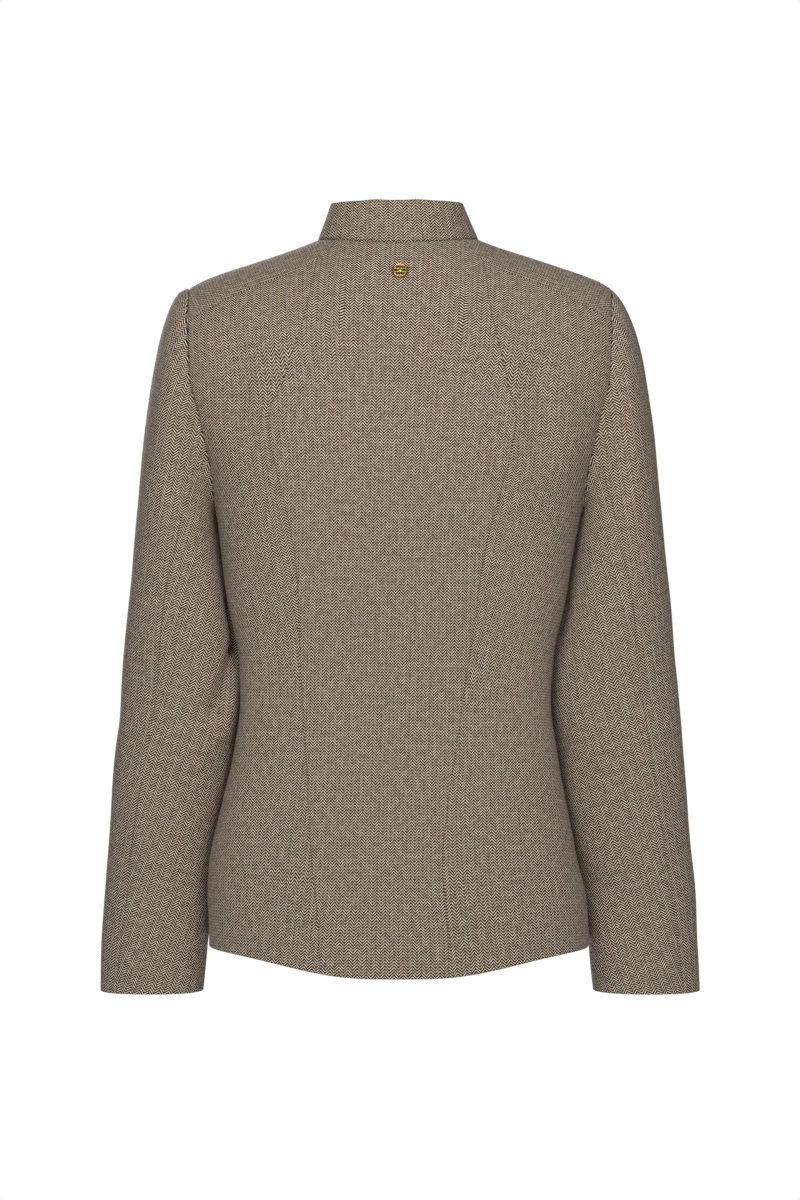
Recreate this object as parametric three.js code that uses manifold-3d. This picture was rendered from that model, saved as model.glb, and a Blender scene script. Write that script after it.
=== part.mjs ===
// A woman's fitted wool blazer with a stand collar, hollow and filled out as when it is worn.
// Sizes are millimetres. X points to the wearer's left, Y behind them and Z up.
// The origin lies between the two points where the shoulders meet the neck.
import * as THREE from "three";
import { mergeVertices } from "three/addons/utils/BufferGeometryUtils.js";
import Module from "manifold-3d";

// Cloth and seams
const CLOTH = 2; // wool with its interlining
const COLLAR_CLOTH = 2.6; // the stand is two layers
const SEAM_GAP = 0.3;
const DEGREE = Math.PI / 180;

// Heights
const SHOULDER_Z = -120; // above this the body turns over into the shoulders
const UNDERARM_Z = -236;
const HEM_SIDE_Z = -616.6;
const HEM_BACK_Z = -635;
const HEM_FRONT_Z = -628;

// Neck and stand collar
const NECK_HALF = 71;
const NECK_SHIFT = 1.6; // the neck opening sits this far to the wearer's left
const NECK_BACK = 64;
const NECK_FRONT = 77;
const STAND_BACK = 37;
const STAND_SIDE = 31.8;
const STAND_FRONT = 30;
const STAND_LEAN_SIDE = 13;
const STAND_LEAN_END = 7;
const STAND_LEAN_LEFT = 1.2; // the whole stand leans this far to the wearer's left at its top
const STAND_CORNER = 12; // radius of the two corners at the front
const STAND_HALF_GAP = 1.2; // each end stops this far from the middle of the front

// Shoulder strip between the back and front panels
const STRIP_FORWARD = 27; // how far its front seam lies before the shoulder line

// Armhole, as the body's half-width along it
const ARMHOLE_BACK_X = 181;
const ARMHOLE_FRONT_X = 168;
const ARMHOLE_TOP_X = 185;

// Front fastening
const LAP = 18; // each front reaches this far past the middle
const LAP_LIFT = CLOTH + 1; // the wearer's right front lies outside the left one
const LAP_RAMP_FROM = 52;
const LAP_RAMP_TO = 28;
const FRONT_CORNER = 26; // radius of the front corners at the hem
const BUTTON = { radius: 10, thick: 4.2, rim: 1.1, dish: 0.9, shank: 0.7 };
const BUTTON_HEIGHTS = [-84, -198, -312, -426];

// Badge below the collar
const BADGE = { z: -32, radius: 6.7, thick: 1, rim: 1.1, rise: 0.6, boss: 1.5 };
const BADGE_HOLES = { count: 6, radius: 1.35, ring: 3.85 };

// The body's level sections: half-width, offset of the middle, how far behind the origin they are
// widest, depth behind and before that, squareness and the turn of the cloth about the wearer, in radians
const BODY = [
  { z: -660, half: 166, middle: 0.8, aft: 10, back: 109, front: 128, square: 2.3, twist: 0.1 },
  { z: -615, half: 166.5, middle: 0.9, aft: 10, back: 106, front: 126, square: 2.3, twist: 0.105 },
  { z: -578, half: 166, middle: 2.6, aft: 10, back: 102, front: 125, square: 2.3, twist: 0.11 },
  { z: -534, half: 159.8, middle: 6, aft: 10, back: 94.5, front: 121, square: 2.3, twist: 0.12 },
  { z: -490, half: 150.5, middle: 5, aft: 10, back: 84, front: 117, square: 2.3, twist: 0.125 },
  { z: -450, half: 142.5, middle: 4, aft: 10, back: 74, front: 112, square: 2.3, twist: 0.12 },
  { z: -402, half: 136.3, middle: 3.6, aft: 10, back: 67, front: 108, square: 2.3, twist: 0.105 },
  { z: -367, half: 137.7, middle: 3.2, aft: 10, back: 68.5, front: 111, square: 2.3, twist: 0.09 },
  { z: -314, half: 148.3, middle: 3, aft: 9, back: 77, front: 123, square: 2.3, twist: 0.06 },
  { z: -261, half: 156.2, middle: 2.2, aft: 6, back: 88, front: 132, square: 2.4, twist: 0.05 },
  { z: -236, half: 160.4, middle: 1.3, aft: 4, back: 93.5, front: 133, square: 2.5, twist: 0.048 },
  { z: -200, half: 170, middle: 0.5, aft: 1, back: 99.5, front: 124, square: 2.7, twist: 0.045 },
  { z: -160, half: 184, middle: 0, aft: 0, back: 102, front: 104, square: 2.9, twist: 0.04 },
  { z: -120, half: 198, middle: 0, aft: 0, back: 101, front: 89, square: 3, twist: 0.02 },
  { z: -80, half: 198, middle: 0, aft: 0, back: 101, front: 89, square: 3, twist: 0 },
];

// Height of the shoulder line at each distance from the middle
const RIDGE = [
  { x: 0, z: 27.4 },
  { x: 16, z: 26.2 },
  { x: 40, z: 17.2 },
  { x: 74, z: 1 },
  { x: 120, z: -15.2 },
  { x: 171, z: -32.6 },
  { x: 185, z: -40 },
  { x: 198, z: -48 },
];

// Back seam of the shoulder strip: its height as a share of the rise from SHOULDER_Z to the ridge
const STRIP_BACK = [
  { x: 50, share: 0.945 },
  { x: 56, share: 0.914 },
  { x: 63, share: 0.85 },
  { x: 78, share: 0.805 },
  { x: 104, share: 0.762 },
  { x: 130, share: 0.729 },
  { x: 184, share: 0.584 },
];

// Shaping seams: distance from the garment's own middle line
const BACK_SEAM = [
  { z: -650, half: 54.5 },
  { z: -554, half: 55 },
  { z: -485, half: 59.5 },
  { z: -417, half: 67 },
  { z: -348, half: 74 },
  { z: -280, half: 80.5 },
  { z: -220, half: 94 },
  { z: -190, half: 101.5 },
  { z: -157, half: 106 },
  { z: -131, half: 97 },
  { z: -96, half: 87 },
  { z: -66, half: 79.5 },
  { z: -20, half: 72 },
];
const FRONT_SEAM = [
  { z: -650, half: 88 },
  { z: -500, half: 76 },
  { z: -400, half: 68 },
  { z: -320, half: 78 },
  { z: -240, half: 90 },
  { z: -160, half: 96 },
  { z: -40, half: 98 },
];

// Level sections of the sleeves: outer and inner edge on each side, middle and half-depth from front
// to back, and the places of the two long seams, in turns from the outer edge by way of the back.
// The inner edges give way where the body's side is closer than SLEEVE_CLEAR.
const SLEEVE_CLEAR = 0.6;
const SLEEVE = [
  { z: -661, outL: 266.5, inL: 175, outR: 266.8, inR: 171.6, middle: -33, deep: 38, hind: 0.14, fore: 0.63 },
  { z: -634, outL: 265.5, inL: 172.4, outR: 265.4, inR: 168.6, middle: -30, deep: 39, hind: 0.146, fore: 0.63 },
  { z: -615, outL: 264.6, inL: 170.4, outR: 264.2, inR: 166.8, middle: -28, deep: 40, hind: 0.15, fore: 0.63 },
  { z: -578, outL: 262, inL: 164, outR: 262.3, inR: 160, middle: -26, deep: 42, hind: 0.158, fore: 0.635 },
  { z: -534, outL: 258.4, inL: 155, outR: 258, inR: 150, middle: -24, deep: 45, hind: 0.165, fore: 0.64 },
  { z: -490, outL: 255.6, inL: 145, outR: 254.8, inR: 140, middle: -22, deep: 48, hind: 0.172, fore: 0.645 },
  { z: -455, outL: 252.8, inL: 138, outR: 252, inR: 132, middle: -21, deep: 50, hind: 0.178, fore: 0.65 },
  { z: -402, outL: 247.2, inL: 134, outR: 247.8, inR: 126, middle: -20, deep: 52, hind: 0.187, fore: 0.655 },
  { z: -367, outL: 244.8, inL: 136, outR: 243.4, inR: 130, middle: -19, deep: 54, hind: 0.195, fore: 0.66 },
  { z: -314, outL: 239.8, inL: 146, outR: 239, inR: 140, middle: -17, deep: 57, hind: 0.215, fore: 0.665 },
  { z: -262, outL: 234.4, inL: 155, outR: 233.3, inR: 152, middle: -11, deep: 59, hind: 0.262, fore: 0.67 },
];
const SLEEVE_TOP_Z = SLEEVE[SLEEVE.length - 1].z;
const SLEEVE_SQUARE = 2.15;

// How far each sleeve head stands out, and how much higher than listed its crown starts
const HEAD_FULLNESS = { L: 0.66, R: 0.88 };
const HEAD_LIFT = { L: 0.9, R: 0 };

// How the sleeve head leaves the armhole, by turns from the top by way of the back: the direction and
// length of its first stretch, and the length of the upright stretch that it runs into
const HEAD = [
  { turns: 0, out: 0.8, back: 0, up: -0.6, reach: 42, drop: 108 },
  { turns: 0.12, out: 0.86, back: 0.22, up: -0.46, reach: 33, drop: 92 },
  { turns: 0.25, out: 0.93, back: 0.2, up: -0.3, reach: 24, drop: 62 },
  { turns: 0.4, out: 0.95, back: 0.05, up: -0.05, reach: 8, drop: 28 },
  { turns: 0.5, out: 0.95, back: 0, up: 0.3, reach: 4, drop: 16 },
  { turns: 0.6, out: 0.95, back: -0.05, up: -0.05, reach: 8, drop: 28 },
  { turns: 0.75, out: 0.93, back: -0.2, up: -0.3, reach: 24, drop: 62 },
  { turns: 0.88, out: 0.86, back: -0.22, up: -0.46, reach: 33, drop: 92 },
  { turns: 1, out: 0.8, back: 0, up: -0.6, reach: 42, drop: 108 },
];

// Soft folds of the back, each a trough (or, with a negative depth, a ridge) from one point to another
const BACK_FOLDS = [
  { x0: -114, z0: -122, x1: -123, z1: -182, wide: 12, deep: 3.2 },
  { x0: -140, z0: -130, x1: -141, z1: -196, wide: 14, deep: -2.2 },
  { x0: 50, z0: -118, x1: 47, z1: -190, wide: 15, deep: 1.4 },
  { x0: -17, z0: -130, x1: -19, z1: -330, wide: 17, deep: 1.5 },
  { x0: 142, z0: -100, x1: 140, z1: -165, wide: 13, deep: 2 },
  { x0: -50, z0: -480, x1: -18, z1: -596, wide: 17, deep: 2.2 },
];

// Soft folds of the sleeves, in turns round the sleeve and heights
const SLEEVE_FOLDS = {
  L: [
    { turns0: 0.5, z0: -352, turns1: 0.37, z1: -410, wide: 14, deep: 7 },
    { turns0: 0.37, z0: -290, turns1: 0.35, z1: -350, wide: 18, deep: -2.4 },
    { turns0: 0.36, z0: -430, turns1: 0.3, z1: -455, wide: 18, deep: -1.8 },
    { turns0: 0.2, z0: -560, turns1: 0.36, z1: -610, wide: 18, deep: 2.4 },
  ],
  R: [
    { turns0: 0.5, z0: -440, turns1: 0.32, z1: -468, wide: 24, deep: 2.4 },
    { turns0: 0.46, z0: -330, turns1: 0.36, z1: -362, wide: 22, deep: 1.6 },
    { turns0: 0.4, z0: -560, turns1: 0.24, z1: -606, wide: 20, deep: 2.6 },
  ],
};

// Grid of the panels
const ROWS_BELOW = 14; // hem to underarm
const ROWS_ARMHOLE = 7; // underarm to SHOULDER_Z
const ROWS_SHOULDER = 3; // SHOULDER_Z to the strip or the neck
const STRIP_ROWS = 5;
const STRIP_COLUMNS = 7;
const HEAD_ROWS = [0.05, 0.12, 0.22, 0.36, 0.54, 0.76];
const SLEEVE_ROWS = 15;
const HIND_ROW = 4; // armhole rows counted up from the underarm at which the sleeve's seams start
const FORE_ROW = 3;

const wasm = await Module();
wasm.setup();

// A smooth curve through two columns of a table, without overshoot. Its rows rise in the first column.
function curve(rows, from, to) {
  const xs = rows.map((row) => row[from]);
  const ys = rows.map((row) => row[to]);
  const rise = xs.slice(1).map((x, i) => (ys[i + 1] - ys[i]) / (x - xs[i]));
  const slope = xs.map((_, i) => {
    const [a, b] = [rise[i - 1] ?? rise[i], rise[i] ?? rise[i - 1]];
    return a * b > 0 ? (2 * a * b) / (a + b) : 0;
  });
  return (x) => {
    const at = Math.min(xs.length - 2, Math.max(0, xs.findIndex((edge) => edge > x) - 1));
    const i = x >= xs[xs.length - 1] ? xs.length - 2 : at;
    const span = xs[i + 1] - xs[i];
    const t = Math.min(1, Math.max(0, (x - xs[i]) / span));
    const hermite = t * t * (3 - 2 * t);
    const bend = t * (1 - t) * span * ((1 - t) * slope[i] - t * slope[i + 1]);
    return ys[i] + (ys[i + 1] - ys[i]) * hermite + bend;
  };
}

const columns = (rows, from, names) =>
  Object.fromEntries(names.map((name) => [name, curve(rows, from, name)]));
const mix = (a, b, t) => a + (b - a) * t;
const smooth = (t) => Math.min(1, Math.max(0, t)) ** 2 * (3 - 2 * Math.min(1, Math.max(0, t)));
const steps = (count) => Array.from({ length: count + 1 }, (_, i) => i / count);

const body = columns(BODY, "z", ["half", "middle", "aft", "back", "front", "square", "twist"]);
const ridge = curve(RIDGE, "x", "z");
const stripShare = curve(STRIP_BACK, "x", "share");
const backSeam = curve(BACK_SEAM, "z", "half");
const frontSeam = curve(FRONT_SEAM, "z", "half");
const sleeve = columns(SLEEVE, "z", ["outL", "inL", "outR", "inR", "middle", "deep", "hind", "fore"]);
const head = columns(HEAD, "turns", ["out", "back", "up", "reach", "drop"]);

// The level section of the body at height z. Angles run from the middle of the back to the wearer's left.
function ring(angle, z) {
  const [side, aft] = [Math.sin(angle), Math.cos(angle)];
  const depth = aft >= 0 ? body.back(z) : body.front(z);
  const n = body.square(z);
  const reach = (Math.abs(side / body.half(z)) ** n + Math.abs(aft / depth) ** n) ** (-1 / n);
  return new THREE.Vector3(body.middle(z) + reach * side, body.aft(z) + reach * aft, z);
}

// Distance of the section from the line between its sides, at x from its middle
function depthAt(x, z, behind) {
  const n = body.square(z);
  const share = Math.min(1, Math.abs(x) / body.half(z));
  return (behind ? body.back(z) : body.front(z)) * (1 - share ** n) ** (1 / n);
}

const angleAt = (x, z, behind) => Math.atan2(x, (behind ? 1 : -1) * depthAt(x, z, behind));

// A point of the body. Below SHOULDER_Z a place is an angle and a height. Above it, the place is the
// angle at which its upright arch starts and its turn, from 0 at the start to 90 degrees on the ridge.
function bodyPoint({ angle, z, turn }) {
  if (turn === undefined) return ring(angle, z);
  const foot = ring(angle, SHOULDER_Z);
  const rise = ridge(Math.abs(foot.x - NECK_SHIFT * (1 - smooth(Math.abs(foot.x) / 150)))) - SHOULDER_Z;
  return new THREE.Vector3(foot.x, foot.y * Math.cos(turn), SHOULDER_Z + rise * Math.sin(turn));
}

function bodyNormal(place) {
  const key = place.turn === undefined ? "z" : "turn";
  const step = key === "z" ? 1 : 0.01;
  const along = bodyPoint({ ...place, [key]: place[key] + step }).sub(
    bodyPoint({ ...place, [key]: place[key] - step }),
  );
  const across = bodyPoint({ ...place, angle: place.angle + 0.01 }).sub(
    bodyPoint({ ...place, angle: place.angle - 0.01 }),
  );
  return along.cross(across).normalize();
}

// Depth of the soft folds at a point given in two coordinates, from the folds' own ends
function foldDepth(folds, a, b, ends) {
  let total = 0;
  for (const fold of folds) {
    const [a0, b0, a1, b1] = ends(fold);
    const [da, db] = [a1 - a0, b1 - b0];
    const share = ((a - a0) * da + (b - b0) * db) / (da * da + db * db);
    const held = Math.min(1, Math.max(0, share));
    const off = Math.hypot(a - a0 - held * da, b - b0 - held * db);
    total += fold.deep * Math.exp(-((off / fold.wide) ** 2));
  }
  return total;
}

// The outer face of the cloth at a place of the body, with its folds, and the way it faces
function clothAt(place, lift = 0) {
  const point = bodyPoint(place);
  const normal = bodyNormal(place);
  const fold = point.y > 0 ? foldDepth(BACK_FOLDS, point.x, point.z, (f) => [f.x0, f.z0, f.x1, f.z1]) : 0;
  return { point: point.addScaledVector(normal, lift - fold), normal };
}

// Turn at which the arch at x reaches the neck opening
function neckTurn(x, behind) {
  const share = Math.min(1, Math.abs(x - NECK_SHIFT) / NECK_HALF);
  const across = (behind ? NECK_BACK : NECK_FRONT) * Math.sqrt(1 - share * share);
  return Math.acos(Math.min(1, across / depthAt(x, SHOULDER_Z, behind)));
}

const stripBackTurn = (x) => Math.asin(stripShare(Math.abs(x)));
const stripFrontTurn = (x) => Math.acos(Math.min(1, STRIP_FORWARD / depthAt(x, SHOULDER_Z, false)));
const backTop = (x) => Math.min(neckTurn(x, true), stripBackTurn(x));
const frontTop = (x) => Math.min(neckTurn(x, false), stripFrontTurn(x));

// x of the corner where the neck opening meets a seam of the shoulder strip
function stripCorner(sign, behind) {
  const seamTurn = behind ? stripBackTurn : stripFrontTurn;
  let [near, far] = [30, NECK_HALF - 3];
  for (let pass = 0; pass < 40; pass += 1) {
    const x = (near + far) / 2;
    if (neckTurn(sign * x, behind) < seamTurn(x)) near = x;
    else far = x;
  }
  return sign * near;
}

const armholeX = (turn, behind) => {
  const foot = behind ? ARMHOLE_BACK_X : ARMHOLE_FRONT_X;
  return mix(foot, ARMHOLE_TOP_X, Math.sin(turn));
};

// The rows of a body panel: shares of the way from hem to underarm, heights up to SHOULDER_Z, then
// shares of the turn up to the panel's top
const ROWS = [
  ...steps(ROWS_BELOW).map((share) => ({ below: share })),
  ...steps(ROWS_ARMHOLE)
    .slice(1)
    .map((share) => ({ z: mix(SHOULDER_Z, UNDERARM_Z, Math.cos(share * 90 * DEGREE)) })),
  ...steps(ROWS_SHOULDER)
    .slice(1)
    .map((share) => ({ share })),
];

// Height of the hem at an angle, with the front corners rounded towards an edge at edgeX
function hem(angle, edgeX, x) {
  const aft = Math.cos(angle);
  const level = mix(HEM_SIDE_Z, aft > 0 ? HEM_BACK_Z : HEM_FRONT_Z, smooth(Math.abs(aft) ** 1.9));
  if (edgeX === undefined) return level;
  const inset = Math.max(0, FRONT_CORNER - Math.abs(edgeX - x));
  return level + FRONT_CORNER - Math.sqrt(FRONT_CORNER ** 2 - inset ** 2);
}

// Edges of the body panels. Each gives the angle of its place in a row.
// A seam at a set distance from the garment's own middle line:
function seamEdge(seam, sign, behind) {
  const top = behind ? backTop : frontTop;
  return ({ z, share }) => {
    if (share === undefined) {
      const turned = behind ? body.twist(z) : Math.PI + body.twist(z);
      const base = Math.atan2(seam(z), depthAt(seam(z), z, behind));
      return turned + (behind ? sign : -sign) * base;
    }
    let x = seam(SHOULDER_Z);
    for (let pass = 0; pass < 6; pass += 1) {
      x = seam(SHOULDER_Z + (ridge(x) - SHOULDER_Z) * Math.sin(top(x) * share));
    }
    const turned = (behind ? 0 : Math.PI) + body.twist(SHOULDER_Z) * (1 - share);
    const base = Math.atan2(x, depthAt(x, SHOULDER_Z, behind));
    return turned + (behind ? sign : -sign) * base;
  };
}

// The side seam, and above it the armhole
function sideEdge(sign, behind) {
  const top = behind ? stripBackTurn : stripFrontTurn;
  const footAngle = Math.abs(angleAt(armholeX(0, behind), SHOULDER_Z, behind));
  const side = 90 * DEGREE;
  return ({ z, share }) => {
    if (share !== undefined) return sign * angleAt(armholeFoot(share, behind, top), SHOULDER_Z, behind);
    if (z <= UNDERARM_Z) return sign * side;
    const fall = (SHOULDER_Z - z) / (SHOULDER_Z - UNDERARM_Z);
    return sign * mix(side, footAngle, Math.sqrt(1 - fall * fall));
  };
}

// x of the armhole at a share of the turn up to the strip's seam
function armholeFoot(share, behind, top) {
  let x = armholeX(0, behind);
  for (let pass = 0; pass < 6; pass += 1) x = armholeX(top(x) * share, behind);
  return x;
}

// The free edge of a front, past the middle by the lap
function lapEdge(sign) {
  return ({ z, share }) => {
    const height = share === undefined ? z : SHOULDER_Z;
    const twist = body.twist(height) * (share === undefined ? 1 : 1 - share);
    return Math.PI + twist - sign * Math.atan2(LAP, depthAt(LAP, height, false));
  };
}

// Points of a body panel between two edges, rows from the hem up. In the topmost row, each corner's
// column lies at the angle of the corner.
function panelGrid({ from, to, top, count, corners = [], lift = () => 0, lapSign }) {
  return ROWS.map((row, r) => {
    const z = row.z ?? UNDERARM_Z;
    const cells = steps(count).map((share, column) => {
      let height = z;
      let angle = mix(from({ ...row, z }), to({ ...row, z }), share);
      if (row.share !== undefined) angle = cornered(row, column, { from, to, count, corners });
      if (row.below !== undefined) {
        for (let pass = 0; pass < 4; pass += 1) {
          const edgeX = lapSign === undefined ? undefined : ring(to({ z: height }), height).x;
          const low = hem(angle, edgeX, ring(angle, height).x);
          height = mix(low, UNDERARM_Z, row.below);
          angle = mix(from({ z: height }), to({ z: height }), share);
        }
      }
      if (row.share === undefined) return { angle, z: height };
      const trim = r === ROWS.length - 1 ? 0.15 / 90 : 0;
      return { angle, turn: top(ring(angle, SHOULDER_Z).x) * row.share - trim };
    });
    return trimEnds(cells).map((place) => clothAt(place, lift(place)));
  });
}

// The angle of a column in a row of the shoulders, drawn towards the corners as the row nears the top
function cornered(row, column, { from, to, count, corners }) {
  const [start, end] = [from(row), to(row)];
  const knots = [{ column: 0, angle: start }];
  for (const corner of corners) {
    const even = mix(start, end, corner.column / count);
    knots.push({ column: corner.column, angle: mix(even, corner.angle, row.share) });
  }
  knots.push({ column: count, angle: end });
  const i = Math.max(1, knots.findIndex((knot) => knot.column >= column));
  const [before, after] = [knots[i - 1], knots[i]];
  return mix(before.angle, after.angle, (column - before.column) / (after.column - before.column));
}

// Pulls the first and last place of a row in by half a seam gap
function trimEnds(cells) {
  const trim = (end, next) => {
    const gap = bodyPoint(end).distanceTo(bodyPoint(next));
    return { ...end, angle: mix(end.angle, next.angle, SEAM_GAP / 2 / gap) };
  };
  const last = cells.length - 1;
  return [trim(cells[0], cells[1]), ...cells.slice(1, last), trim(cells[last], cells[last - 1])];
}

// A closed wall of cloth from a grid of outer points and the ways they face
function wall(grid, thick = CLOTH) {
  const rows = grid.length;
  const width = grid[0].length;
  const layer = rows * width;
  const outer = grid.flat().map(({ point }) => point);
  const inner = grid.flat().map(({ point, normal }) => point.clone().addScaledVector(normal, -thick));
  const faces = [];
  const quad = (a, b, c, d) => faces.push(a, b, c, a, c, d);
  for (let r = 0; r < rows - 1; r += 1) {
    for (let c = 0; c < width - 1; c += 1) {
      const at = r * width + c;
      quad(at, at + 1, at + width + 1, at + width);
      quad(layer + at, layer + at + width, layer + at + width + 1, layer + at + 1);
    }
    const [start, end] = [r * width, r * width + width - 1];
    quad(start, start + width, layer + start + width, layer + start);
    quad(end, layer + end, layer + end + width, end + width);
  }
  for (let c = 0; c < width - 1; c += 1) {
    const [low, high] = [c, (rows - 1) * width + c];
    quad(low, layer + low, layer + low + 1, low + 1);
    quad(high, high + 1, layer + high + 1, layer + high);
  }
  return closed([...outer, ...inner], faces);
}

// A geometry from points and triangles, turned to face outwards
function closed(points, faces) {
  let volume = 0;
  for (let i = 0; i < faces.length; i += 3) {
    const [a, b, c] = [points[faces[i]], points[faces[i + 1]], points[faces[i + 2]]];
    volume += a.dot(b.clone().cross(c));
  }
  if (volume < 0) faces.reverse();
  const geometry = new THREE.BufferGeometry();
  const numbers = points.flatMap((point) => point.toArray());
  geometry.setAttribute("position", new THREE.Float32BufferAttribute(numbers, 3));
  geometry.setIndex(faces);
  return geometry;
}

// The six panels round the body
function backCentre() {
  const corner = (sign, column) => ({ column, angle: angleAt(stripCorner(sign, true), SHOULDER_Z, true) });
  return panelGrid({
    from: seamEdge(backSeam, -1, true),
    to: seamEdge(backSeam, 1, true),
    top: backTop,
    count: 10,
    corners: [corner(-1, 1), corner(1, 9)],
  });
}

function backSide(sign) {
  const from = seamEdge(backSeam, sign, true);
  return panelGrid({ from, to: sideEdge(sign, true), top: stripBackTurn, count: 5 });
}

// On the wearer's right, angles of the front are counted on past the middle of the front
function frontSide(sign) {
  const side = sideEdge(sign, false);
  const toSide = (row) => (sign > 0 ? side(row) : side(row) + 2 * Math.PI);
  return panelGrid({ from: seamEdge(frontSeam, sign, false), to: toSide, top: stripFrontTurn, count: 5 });
}

// The wearer's right front is lifted clear of the left one where they overlap
function rightLift({ angle, z, turn }) {
  const foot = turn === undefined ? z : SHOULDER_Z;
  const place = ring(angle, foot);
  const middle = ring(Math.PI + body.twist(foot), foot);
  return LAP_LIFT * smooth((place.x - middle.x + LAP_RAMP_FROM) / (LAP_RAMP_FROM - LAP_RAMP_TO));
}

function front(sign) {
  const angle = angleAt(stripCorner(sign, false), SHOULDER_Z, false);
  return panelGrid({
    from: seamEdge(frontSeam, sign, false),
    to: lapEdge(-sign),
    top: frontTop,
    count: 7,
    corners: [{ column: 2, angle: sign < 0 ? angle + 2 * Math.PI : angle }],
    lift: sign < 0 ? rightLift : undefined,
    lapSign: -sign,
  });
}

// A place of the shoulder at x and at a turn from 0 behind to 180 degrees before
function overShoulder(x, turn) {
  const behind = turn <= 90 * DEGREE;
  return { angle: angleAt(x, SHOULDER_Z, behind), turn: behind ? turn : Math.PI - turn };
}

// The neck opening at a plan angle from the middle of the back, as x and a turn over the shoulder
function neckPlace(plan) {
  const x = NECK_SHIFT + NECK_HALF * Math.sin(plan);
  const behind = Math.cos(plan) >= 0;
  const turn = neckTurn(x, behind);
  return { x, turn: behind ? turn : Math.PI - turn };
}

// Both ends of the strip's rows: along the neck and along the armhole
function stripEnds(share, sign = 1) {
  const plan = (behind) => Math.asin(Math.abs(stripCorner(sign, behind) - NECK_SHIFT) / NECK_HALF);
  const neck = neckPlace(sign * mix(plan(true), Math.PI - plan(false), share));
  let x = ARMHOLE_TOP_X;
  let turn = 0;
  for (let pass = 0; pass < 6; pass += 1) {
    turn = mix(stripBackTurn(x), Math.PI - stripFrontTurn(x), share);
    x = armholeX(Math.min(turn, Math.PI - turn), turn <= 90 * DEGREE);
  }
  return { neck: { ...neck, x: Math.abs(neck.x) }, armhole: { x, turn } };
}

function stripGrid(sign) {
  const trim = SEAM_GAP / 2;
  return steps(STRIP_ROWS).map((row, r) => {
    const { neck, armhole } = stripEnds(row, sign);
    const span = (x) => [stripBackTurn(x), Math.PI - stripFrontTurn(x)];
    const [low, high] = span(neck.x);
    const neckShare = (neck.turn - low) / (high - low);
    const inset = (r === 0 ? 1 : r === STRIP_ROWS ? -1 : 0) * (2 * trim) / 90;
    return steps(STRIP_COLUMNS).map((column, c) => {
      const shift = c === 0 ? trim : c === STRIP_COLUMNS ? -trim : 0;
      const x = mix(neck.x, armhole.x, column) + shift;
      const [from, to] = span(x);
      const turn = mix(from, to, mix(neckShare, row, column)) + inset;
      const side = overShoulder(x, turn);
      return clothAt({ ...side, angle: sign * side.angle });
    });
  });
}

// The stand collar, from one front end round the back to the other
function collarGrid() {
  const endPlan = Math.PI - Math.asin(STAND_HALF_GAP / NECK_HALF);
  const count = 30;
  return [0, 0.5, 0.8, 1].map((rise) =>
    steps(count).map((share) => {
      const plan = mix(-endPlan, endPlan, share);
      const foot = neckPlace(plan);
      const base = bodyPoint(overShoulder(foot.x, foot.turn));
      const fromEnd = (endPlan - Math.abs(plan)) * NECK_FRONT;
      const aside = Math.sin(plan) ** 2;
      const ends = mix(STAND_BACK, STAND_FRONT, smooth(Math.abs(plan) / Math.PI));
      const tall = mix(ends, STAND_SIDE, aside);
      const short = Math.max(0, STAND_CORNER - fromEnd);
      const height = tall - STAND_CORNER + Math.sqrt(STAND_CORNER ** 2 - short ** 2);
      const lean = mix(STAND_LEAN_END, STAND_LEAN_SIDE, aside);
      const outward = new THREE.Vector3(Math.sin(plan) / NECK_HALF, Math.cos(plan) / NECK_FRONT, 0);
      outward.normalize();
      const point = base.clone().setZ(base.z + 3 * SEAM_GAP + height * rise);
      point.addScaledVector(outward, -lean * rise ** 0.9).setX(point.x + STAND_LEAN_LEFT * rise);
      return { point, normal: outward.clone().setZ(lean / tall).normalize() };
    }),
  );
}

// The armhole as a loop of places, from the ridge by way of the back, under the arm and up the front
function armholeLoop() {
  const back = sideEdge(1, true);
  const fore = sideEdge(1, false);
  const up = ROWS.filter((row) => row.z !== undefined).slice(0, -1);
  const place = (edge, row, top) => {
    const angle = edge(row);
    if (row.share === undefined) return { angle, z: row.z };
    return { angle, turn: top(ring(angle, SHOULDER_Z).x) * row.share };
  };
  const side = (edge, top) => [
    ...up.map((row) => place(edge, row, top)),
    place(edge, { z: SHOULDER_Z }, top),
    ...steps(ROWS_SHOULDER)
      .slice(1, -1)
      .map((share) => place(edge, { share }, top)),
  ];
  const strip = steps(STRIP_ROWS).map((share) => {
    const { x, turn } = stripEnds(share).armhole;
    return overShoulder(x, turn);
  });
  const under = { angle: 90 * DEGREE, z: UNDERARM_Z };
  const [behind, before] = [side(back, stripBackTurn), side(fore, stripFrontTurn)];
  // from the forearm seam up the front, over the strip, down the back and under the arm
  const loop = [...before, ...strip.reverse(), ...behind.reverse(), under];
  const turns = loopTurns(loop);
  return loop.map((spot, i) => ({ ...spot, turns: turns[i] }));
}

// Turns of each place of the loop from the ridge: 0.25 half-way down the back, 0.5 under the arm
function loopTurns(loop) {
  const points = loop.map((place) => bodyPoint(place));
  const length = [0];
  points.forEach((point, i) => i && length.push(length[i - 1] + point.distanceTo(points[i - 1])));
  const total = length[length.length - 1] + points[0].distanceTo(points[points.length - 1]);
  const crest = points.reduce((best, point, i) => (point.z > points[best].z ? i : best), 0);
  const under = points.length - 1;
  return points.map((_, i) => {
    if (i >= crest) return (0.5 * (length[i] - length[crest])) / (length[under] - length[crest]);
    const upFront = length[crest] + (total - length[under]);
    return 1 - (0.5 * (length[crest] - length[i])) / upFront;
  });
}

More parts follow.
